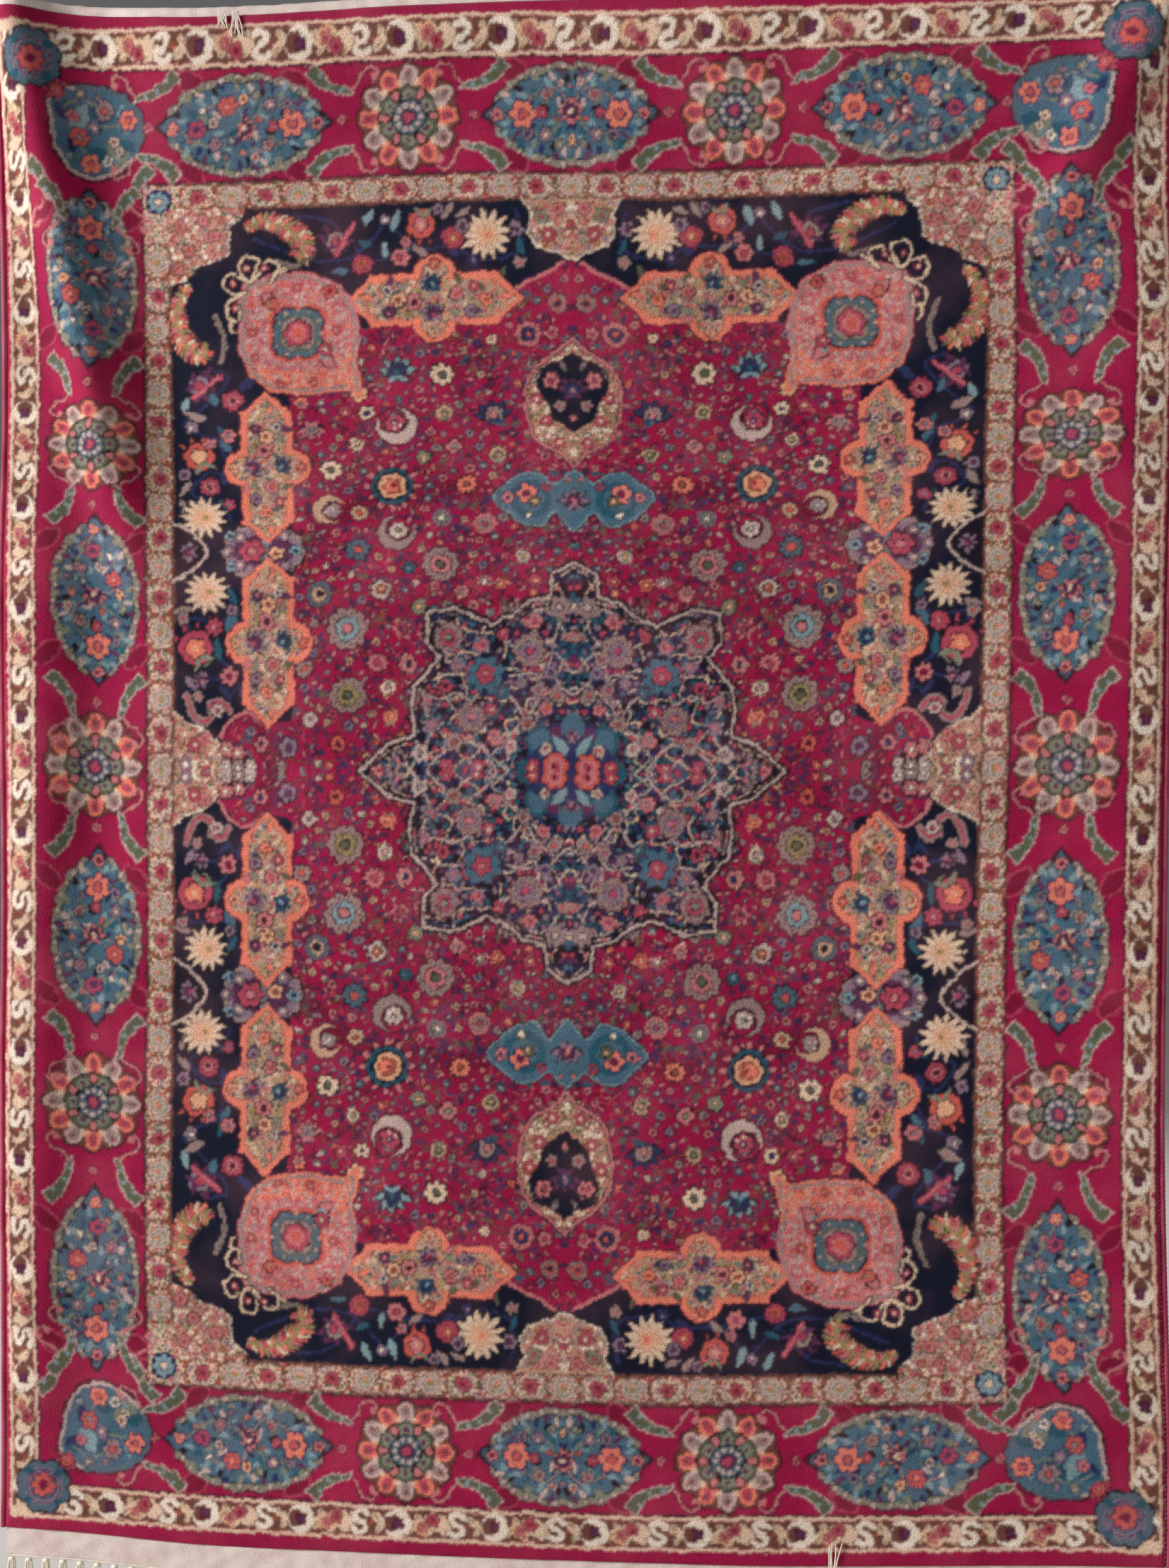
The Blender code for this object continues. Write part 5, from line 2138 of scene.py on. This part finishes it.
class Finish:
    """A material that is being put together from nodes."""

    def __init__(self, name: str, colour: Sequence[float], roughness: float) -> None:
        """Start a material with its plain shader.

        Args:
            name: Name of the material.
            colour: Its plain colour, as display values.
            roughness: Its roughness.
        """
        self.material = bpy.data.materials.new(name)
        self.material.use_nodes = True
        self.tree = self.material.node_tree
        self.shader = self.tree.nodes["Principled BSDF"]
        self.shader.inputs["Base Color"].default_value = (*linear(colour), 1.0)
        self.shader.inputs["Roughness"].default_value = roughness
        self.shader.inputs["Specular IOR Level"].default_value = 0.25
        self.shader.inputs["Sheen Roughness"].default_value = 0.45

    def node(self, kind: str, settings: dict, sockets: dict, output: str | int = 0) -> Socket:
        """Add a node.

        Args:
            kind: Its type, without "ShaderNode".
            settings: Its settings, by name.
            sockets: Values or links of its inputs, by name or number.
            output: Which output is wanted.

        Returns:
            The output.
        """
        node = self.tree.nodes.new("ShaderNode" + kind)
        for key, value in settings.items():
            setattr(node, key, value)
        for key, value in sockets.items():
            join(self.tree, node.inputs[key], value)
        return Socket(self.tree, node.outputs[output])

    def cloth(self) -> Socket:
        """Return the place on the cloth: across, up and out."""
        return self.node("Attribute", {"attribute_name": "cloth"}, {}, "Vector")

    def stretched(self, vector: Socket, scale: Sequence[float]) -> Socket:
        """Return a place with each direction scaled."""
        return self.node("Mapping", {}, {"Vector": vector, "Scale": scale})

    def noise(self, vector: Socket, scale: float, detail: float = 2.0) -> Socket:
        """Return an even noise from nought to one."""
        return self.node("TexNoise", {}, {"Vector": vector, "Scale": scale, "Detail": detail})

    def mix(self, share: Value, first: Value, second: Value, blend: str = "MIX") -> Socket:
        """Return two colours mixed."""
        settings = {"data_type": "RGBA", "blend_type": blend}
        return self.node("Mix", settings, {0: share, 6: first, 7: second}, 2)

    def ranged(self, value: Value, low: float, high: float, new_low: float,
               new_high: float) -> Socket:
        """Return a value brought from one range to another, and held within it."""
        sockets = {0: value, 1: low, 2: high, 3: new_low, 4: new_high}
        return self.node("MapRange", {"clamp": True}, sockets)

    def shaded(self, colour: Value, shade: Value) -> Socket:
        """Return a colour made darker or lighter."""
        tone = self.node("CombineColor", {}, {0: shade, 1: shade, 2: shade})
        return self.mix(1.0, colour, tone, "MULTIPLY")

    def bump(self, height: Value, strength: float, distance: float) -> None:
        """Give the surface a relief."""
        sockets = {"Height": height, "Strength": strength, "Distance": distance}
        join(self.tree, self.shader.inputs["Normal"], self.node("Bump", {}, sockets))

    def set(self, **values: Value) -> None:
        """Set or link sockets of the shader, an underscore for each space."""
        for name, value in values.items():
            join(self.tree, self.shader.inputs[name.replace("_", " ")], value)


@dataclass(frozen=True)
class PileWool:
    """Clipped wool pile in the cartoon's dyes.

    Args:
        knots_per_metre: How fine the knots are.
        sheen: Strength of the wool's sheen.
    """

    knots_per_metre: float = 420.0
    sheen: float = 0.12

    def make(self) -> bpy.types.Material:
        """Return the material."""
        finish = Finish("pile_wool", CRIMSON.value, 0.9)
        cloth = finish.cloth()
        dyed = finish.node("Attribute", {"attribute_name": "knots"}, {}, "Color")
        tufts = finish.noise(cloth, 1.35 * self.knots_per_metre, 3.0)
        rows = finish.noise(finish.stretched(cloth, (60.0, 700.0, 1.0)), 1.0, 2.0)
        lots = finish.noise(finish.stretched(cloth, (1.2, 16.0, 1.0)), 1.0, 3.0)
        # Patches of this noise are lighter and paler pink: partly worn, faded wool and partly painted
        # sheen on the pile.
        wear_and_sheen = finish.noise(cloth, 9.0, 4.0)
        shade = finish.ranged(tufts, 0.3, 0.7, 0.64, 1.28)
        shade = shade * finish.ranged(rows, 0.3, 0.7, 0.90, 1.10)
        shade = shade * finish.ranged(lots, 0.3, 0.7, 0.90, 1.10)
        shade = shade * finish.ranged(wear_and_sheen, 0.3, 0.7, 0.92, 1.10)
        colour = finish.shaded(dyed, shade)
        # Pale pink mixed into the pile where that noise is high: partly fading, partly painted sheen.
        faded_and_sheen = finish.mix(finish.ranged(wear_and_sheen, 0.45, 0.8, 0.0, 0.10), colour,
                           (*linear((222, 150, 150)), 1.0))
        knots = finish.node("TexVoronoi", {}, {"Vector": cloth, "Scale": self.knots_per_metre})
        relief = tufts * 0.6 + (1.0 - knots) * 0.5 + rows * 0.3
        finish.bump(relief, 0.55, 0.0012)
        finish.set(Base_Color=faded_and_sheen, Roughness=finish.ranged(tufts, 0.3, 0.7, 0.82, 0.97),
                   Sheen_Weight=self.sheen)
        return finish.material


@dataclass(frozen=True)
class WovenBack:
    """The knotted back, where each knot shows as two small nodes in a row.

    Args:
        rows_per_metre: Rows of knots to a metre.
    """

    rows_per_metre: float = 400.0

    def make(self) -> bpy.types.Material:
        """Return the material."""
        finish = Finish("woven_back", CRIMSON.value, 0.9)
        cloth = finish.cloth()
        dyed = finish.node("Attribute", {"attribute_name": "knots"}, {}, "Color")
        fibre = finish.noise(cloth, 900.0, 2.0)
        wave = {"wave_type": "BANDS", "bands_direction": "Y", "wave_profile": "SIN"}
        scale = self.rows_per_metre / 20.0 * 2.0 * math.pi
        rows = finish.node("TexWave", wave, {"Vector": cloth, "Scale": scale,
                                             "Distortion": 1.2, "Detail": 2.0}, 1)
        warps = finish.node("TexWave", {**wave, "bands_direction": "X"},
                            {"Vector": cloth, "Scale": scale, "Distortion": 0.8}, 1)
        cotton = finish.mix(finish.ranged(rows, 0.0, 0.35, 0.5, 0.12), dyed,
                            (*linear((196, 168, 140)), 1.0))
        shade = finish.ranged(fibre, 0.3, 0.7, 0.72, 1.05)
        finish.bump(rows * 0.7 + warps * 0.4 + fibre * 0.2, 0.6, 0.0006)
        finish.set(Base_Color=finish.shaded(cotton, shade),
                   Roughness=finish.ranged(fibre, 0.3, 0.7, 0.85, 0.96))
        return finish.material


@dataclass(frozen=True)
class OvercastWool:
    """Crimson wool wound round the side cords.

    Args:
        display: Its colour, as display values.
    """

    display: tuple[int, int, int] = (172, 46, 82)

    def make(self) -> bpy.types.Material:
        """Return the material."""
        finish = Finish("overcast_wool", self.display, 0.85)
        cloth = finish.cloth()
        fibre = finish.noise(finish.stretched(cloth, (300.0, 1400.0, 300.0)), 1.0, 3.0)
        patches = finish.noise(cloth, 14.0, 3.0)
        light = finish.mix(finish.ranged(patches, 0.35, 0.7, 0.0, 1.0),
                           (*linear(self.display), 1.0), (*linear((202, 96, 120)), 1.0))
        shade = finish.ranged(fibre, 0.3, 0.7, 0.62, 1.12)
        finish.bump(fibre, 0.5, 0.0006)
        finish.set(Base_Color=finish.shaded(light, shade),
                   Roughness=finish.ranged(fibre, 0.3, 0.7, 0.75, 0.95), Sheen_Weight=0.15)
        return finish.material


@dataclass(frozen=True)
class UndyedCotton:
    """Cream cotton of the flat-woven ends and the fringes.

    Args:
        name: Name of the material.
        display: Its colour, as display values.
        stretch: How its fibres run, as noise scales across, up and out.
        blush: How far the crimson has run into it.
    """

    name: str
    display: tuple[int, int, int]
    stretch: tuple[float, float, float]
    blush: float

    def make(self) -> bpy.types.Material:
        """Return the material."""
        finish = Finish(self.name, self.display, 0.9)
        cloth = finish.cloth()
        fibre = finish.noise(finish.stretched(cloth, self.stretch), 1.0, 3.0)
        stain = finish.noise(cloth, 22.0, 3.0)
        tinted = finish.mix(finish.ranged(stain, 0.35, 0.75, 0.0, self.blush),
                            (*linear(self.display), 1.0), (*linear((206, 132, 132)), 1.0))
        shade = finish.ranged(fibre, 0.3, 0.7, 0.66, 1.08)
        finish.bump(fibre, 0.6, 0.0008)
        finish.set(Base_Color=finish.shaded(tinted, shade),
                   Roughness=finish.ranged(fibre, 0.3, 0.7, 0.82, 0.97))
        return finish.material


@dataclass(frozen=True)
class PalePaint:
    """Plain pale paint of the studio floor."""

    display: tuple[int, int, int] = (214, 210, 205)

    def make(self) -> bpy.types.Material:
        """Return the material."""
        finish = Finish("pale_floor", self.display, 0.8)
        cloudy = finish.noise(finish.node("TexCoord", {}, {}, "Object"), 1.5, 3.0)
        finish.set(Roughness=finish.ranged(cloudy, 0.3, 0.7, 0.75, 0.85))
        return finish.material


# --------------------------------------------------------------- the studio


@dataclass
class Studio:
    """Floor, light and camera.

    Args:
        eye: Place of the camera.
        heading: Turn of its view about the upright, in radians from +Y.
        tilt: How far it looks up, in radians.
        roll: Its roll, in radians.
        view_height: Angle of view over the picture's height, in degrees.
    """

    eye: tuple[float, float, float] = (0.1964, -2.3678, -1.0556)
    heading: float = -0.07566
    tilt: float = 0.01161
    roll: float = 0.00338
    view_height: float = 46.17

    def camera(self) -> None:
        """Set up the camera."""
        data = bpy.data.cameras.new("camera")
        data.sensor_fit = "VERTICAL"
        data.sensor_height = 24.0
        data.lens = 12.0 / math.tan(math.radians(0.5 * self.view_height))
        data.clip_start = 0.05
        camera = bpy.data.objects.new("camera", data)
        bpy.context.scene.collection.objects.link(camera)
        forward = Vector((math.sin(self.heading) * math.cos(self.tilt),
                          math.cos(self.heading) * math.cos(self.tilt), math.sin(self.tilt)))
        right = Vector((math.cos(self.heading), -math.sin(self.heading), 0.0))
        up = right.cross(forward)
        right, up = (math.cos(self.roll) * right + math.sin(self.roll) * up,
                     math.cos(self.roll) * up - math.sin(self.roll) * right)
        turn = Matrix((right, up, -forward)).transposed().to_4x4()
        camera.matrix_world = Matrix.Translation(self.eye) @ turn
        bpy.context.scene.camera = camera

    def lamp(self, name: str, place: Sequence[float], aim: Sequence[float], size: float,
             power: float, colour: Sequence[float] = (1.0, 1.0, 1.0)) -> None:
        """Hang one soft square light.

        Args:
            name: Name of the light.
            place: Where it hangs.
            aim: What it points at.
            size: Its side.
            power: Its power, in watts.
            colour: Its colour.
        """
        data = bpy.data.lights.new(name, "AREA")
        data.size = size
        data.energy = power
        data.color = colour
        light = bpy.data.objects.new(name, data)
        bpy.context.scene.collection.objects.link(light)
        light.location = place
        run = Vector(aim) - Vector(place)
        light.rotation_euler = run.to_track_quat("-Z", "Y").to_euler()

    def lights(self) -> None:
        """Hang the lights and colour the air."""
        self.lamp("key", (-7.0, -2.6, 1.2), (0.1, 0.0, -0.9), 1.6, 720.0, (1.0, 0.98, 0.98))
        self.lamp("fill", (2.2, -3.4, -0.4), (0.0, 0.0, -1.1), 2.6, 22.0, (0.95, 0.97, 1.0))
        self.lamp("back", (0.6, 3.0, 0.8), (0.0, 0.0, -1.0), 2.6, 70.0)
        world = bpy.data.worlds.new("air")
        world.use_nodes = True
        shader = world.node_tree.nodes["Background"]
        shader.inputs["Color"].default_value = (0.80, 0.80, 0.80, 1.0)
        shader.inputs["Strength"].default_value = 0.15
        bpy.context.scene.world = world
        bpy.context.scene.view_settings.view_transform = "Standard"

    def floor(self, level: float) -> None:
        """Lay the floor.

        Args:
            level: Its height.
        """
        mesh = bmesh.new()
        bmesh.ops.create_circle(mesh, cap_ends=True, segments=96, radius=9.0)
        for vertex in mesh.verts:
            vertex.co.z = level
        data = bpy.data.meshes.new("floor")
        mesh.to_mesh(data)
        mesh.free()
        data.materials.append(PalePaint().make())
        floor = bpy.data.objects.new("floor", data)
        bpy.context.scene.collection.objects.link(floor)
        floor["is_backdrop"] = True


# ------------------------------------------------------------------ the rug


@dataclass
class Rug:
    """The whole rug, hung up.

    Args:
        gap: Space between one piece and the next.
        kilim: Length of a flat-woven end.
        fringe: Length of a fringe.
    """

    gap: float = 0.0003
    kilim: float = 0.006 + math.pi * 0.009
    fringe: float = 0.075
    pieces: list[bpy.types.Object] = field(default_factory=list)

    def hand_over(self, piece: bpy.types.Object, node: str) -> None:
        """Hide the solid that a piece stands for, and attach the piece to the root body.

        Args:
            piece: The piece.
            node: The solid.
        """
        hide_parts(node)
        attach(piece, ROOT)
        self.pieces.append(piece)

    def build(self) -> None:
        """Make every piece and hand it over."""
        self.body()
        self.selvedges()
        self.ends()

    def body(self) -> None:
        """Make the pile in its courses."""
        finishes = (PileWool().make(), WovenBack().make())
        courses = PileCourses()
        for piece in courses.build(Weave().colours(), finishes):
            self.hand_over(piece, "rug_body")

    def selvedges(self) -> None:
        """Make the two overcast side edges."""
        wool = OvercastWool().make()
        for side, word in ((-1.0, "left"), (1.0, "right")):
            piece = Selvedge().build(side, f"overcast_{word}", wool)
            self.hand_over(piece, f"selvedge_{word}")

    def ends(self) -> None:
        """Make the flat-woven ends, their fringes and the stray tassels."""
        flat_weave = UndyedCotton("kilim_cotton", (255, 240, 230), (420.0, 900.0, 1.0), 0.3).make()
        strands = UndyedCotton("fringe_cotton", (255, 246, 228), (1500.0, 160.0, 900.0), 0.1).make()
        foot = DRAPE.length + self.gap
        for word, start, end in (("top", -self.gap, -self.kilim),
                                 ("bottom", foot, foot + self.kilim)):
            rows = 30 if word == "top" else 12
            piece = KilimEnd(start, end, rows=rows).build(f"flat_weave_{word}", flat_weave)
            self.hand_over(piece, f"kilim_end_{word}")
            knots = end + math.copysign(self.gap, end - start)
            reach = math.copysign(self.fringe, end - start)
            seed = 21 if word == "top" else 22
            comb = Fringe(knots, reach, seed=seed).build(f"tassels_{word}", strands)
            self.hand_over(comb, f"fringe_{word}")
        for number, (spot, start, tip, node) in enumerate((
            (-0.446, -0.004, 0.024, "fringe_top"), (-0.428, -0.004, 0.034, "fringe_top"),
            (0.335, foot + 0.030, 1.968, "fringe_bottom"),
        )):
            loose = LooseTassel((spot, start), (spot + 0.004, tip))
            piece = loose.build(f"stray_tassel_{number + 1}", strands, 40 + number)
            self.hand_over(piece, node)


def main() -> None:
    """Build the rug and the studio."""
    logging.basicConfig(level=logging.INFO, format="%(message)s")
    lowest, highest = (list(corner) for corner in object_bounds())
    rug = Rug()
    rug.build()
    studio = Studio()
    studio.camera()
    studio.lights()
    studio.floor(lowest[2] - 0.02)
    for piece in rug.pieces:
        LOG.info("%s is hung", piece.name)


if __name__ == "__main__":
    main()
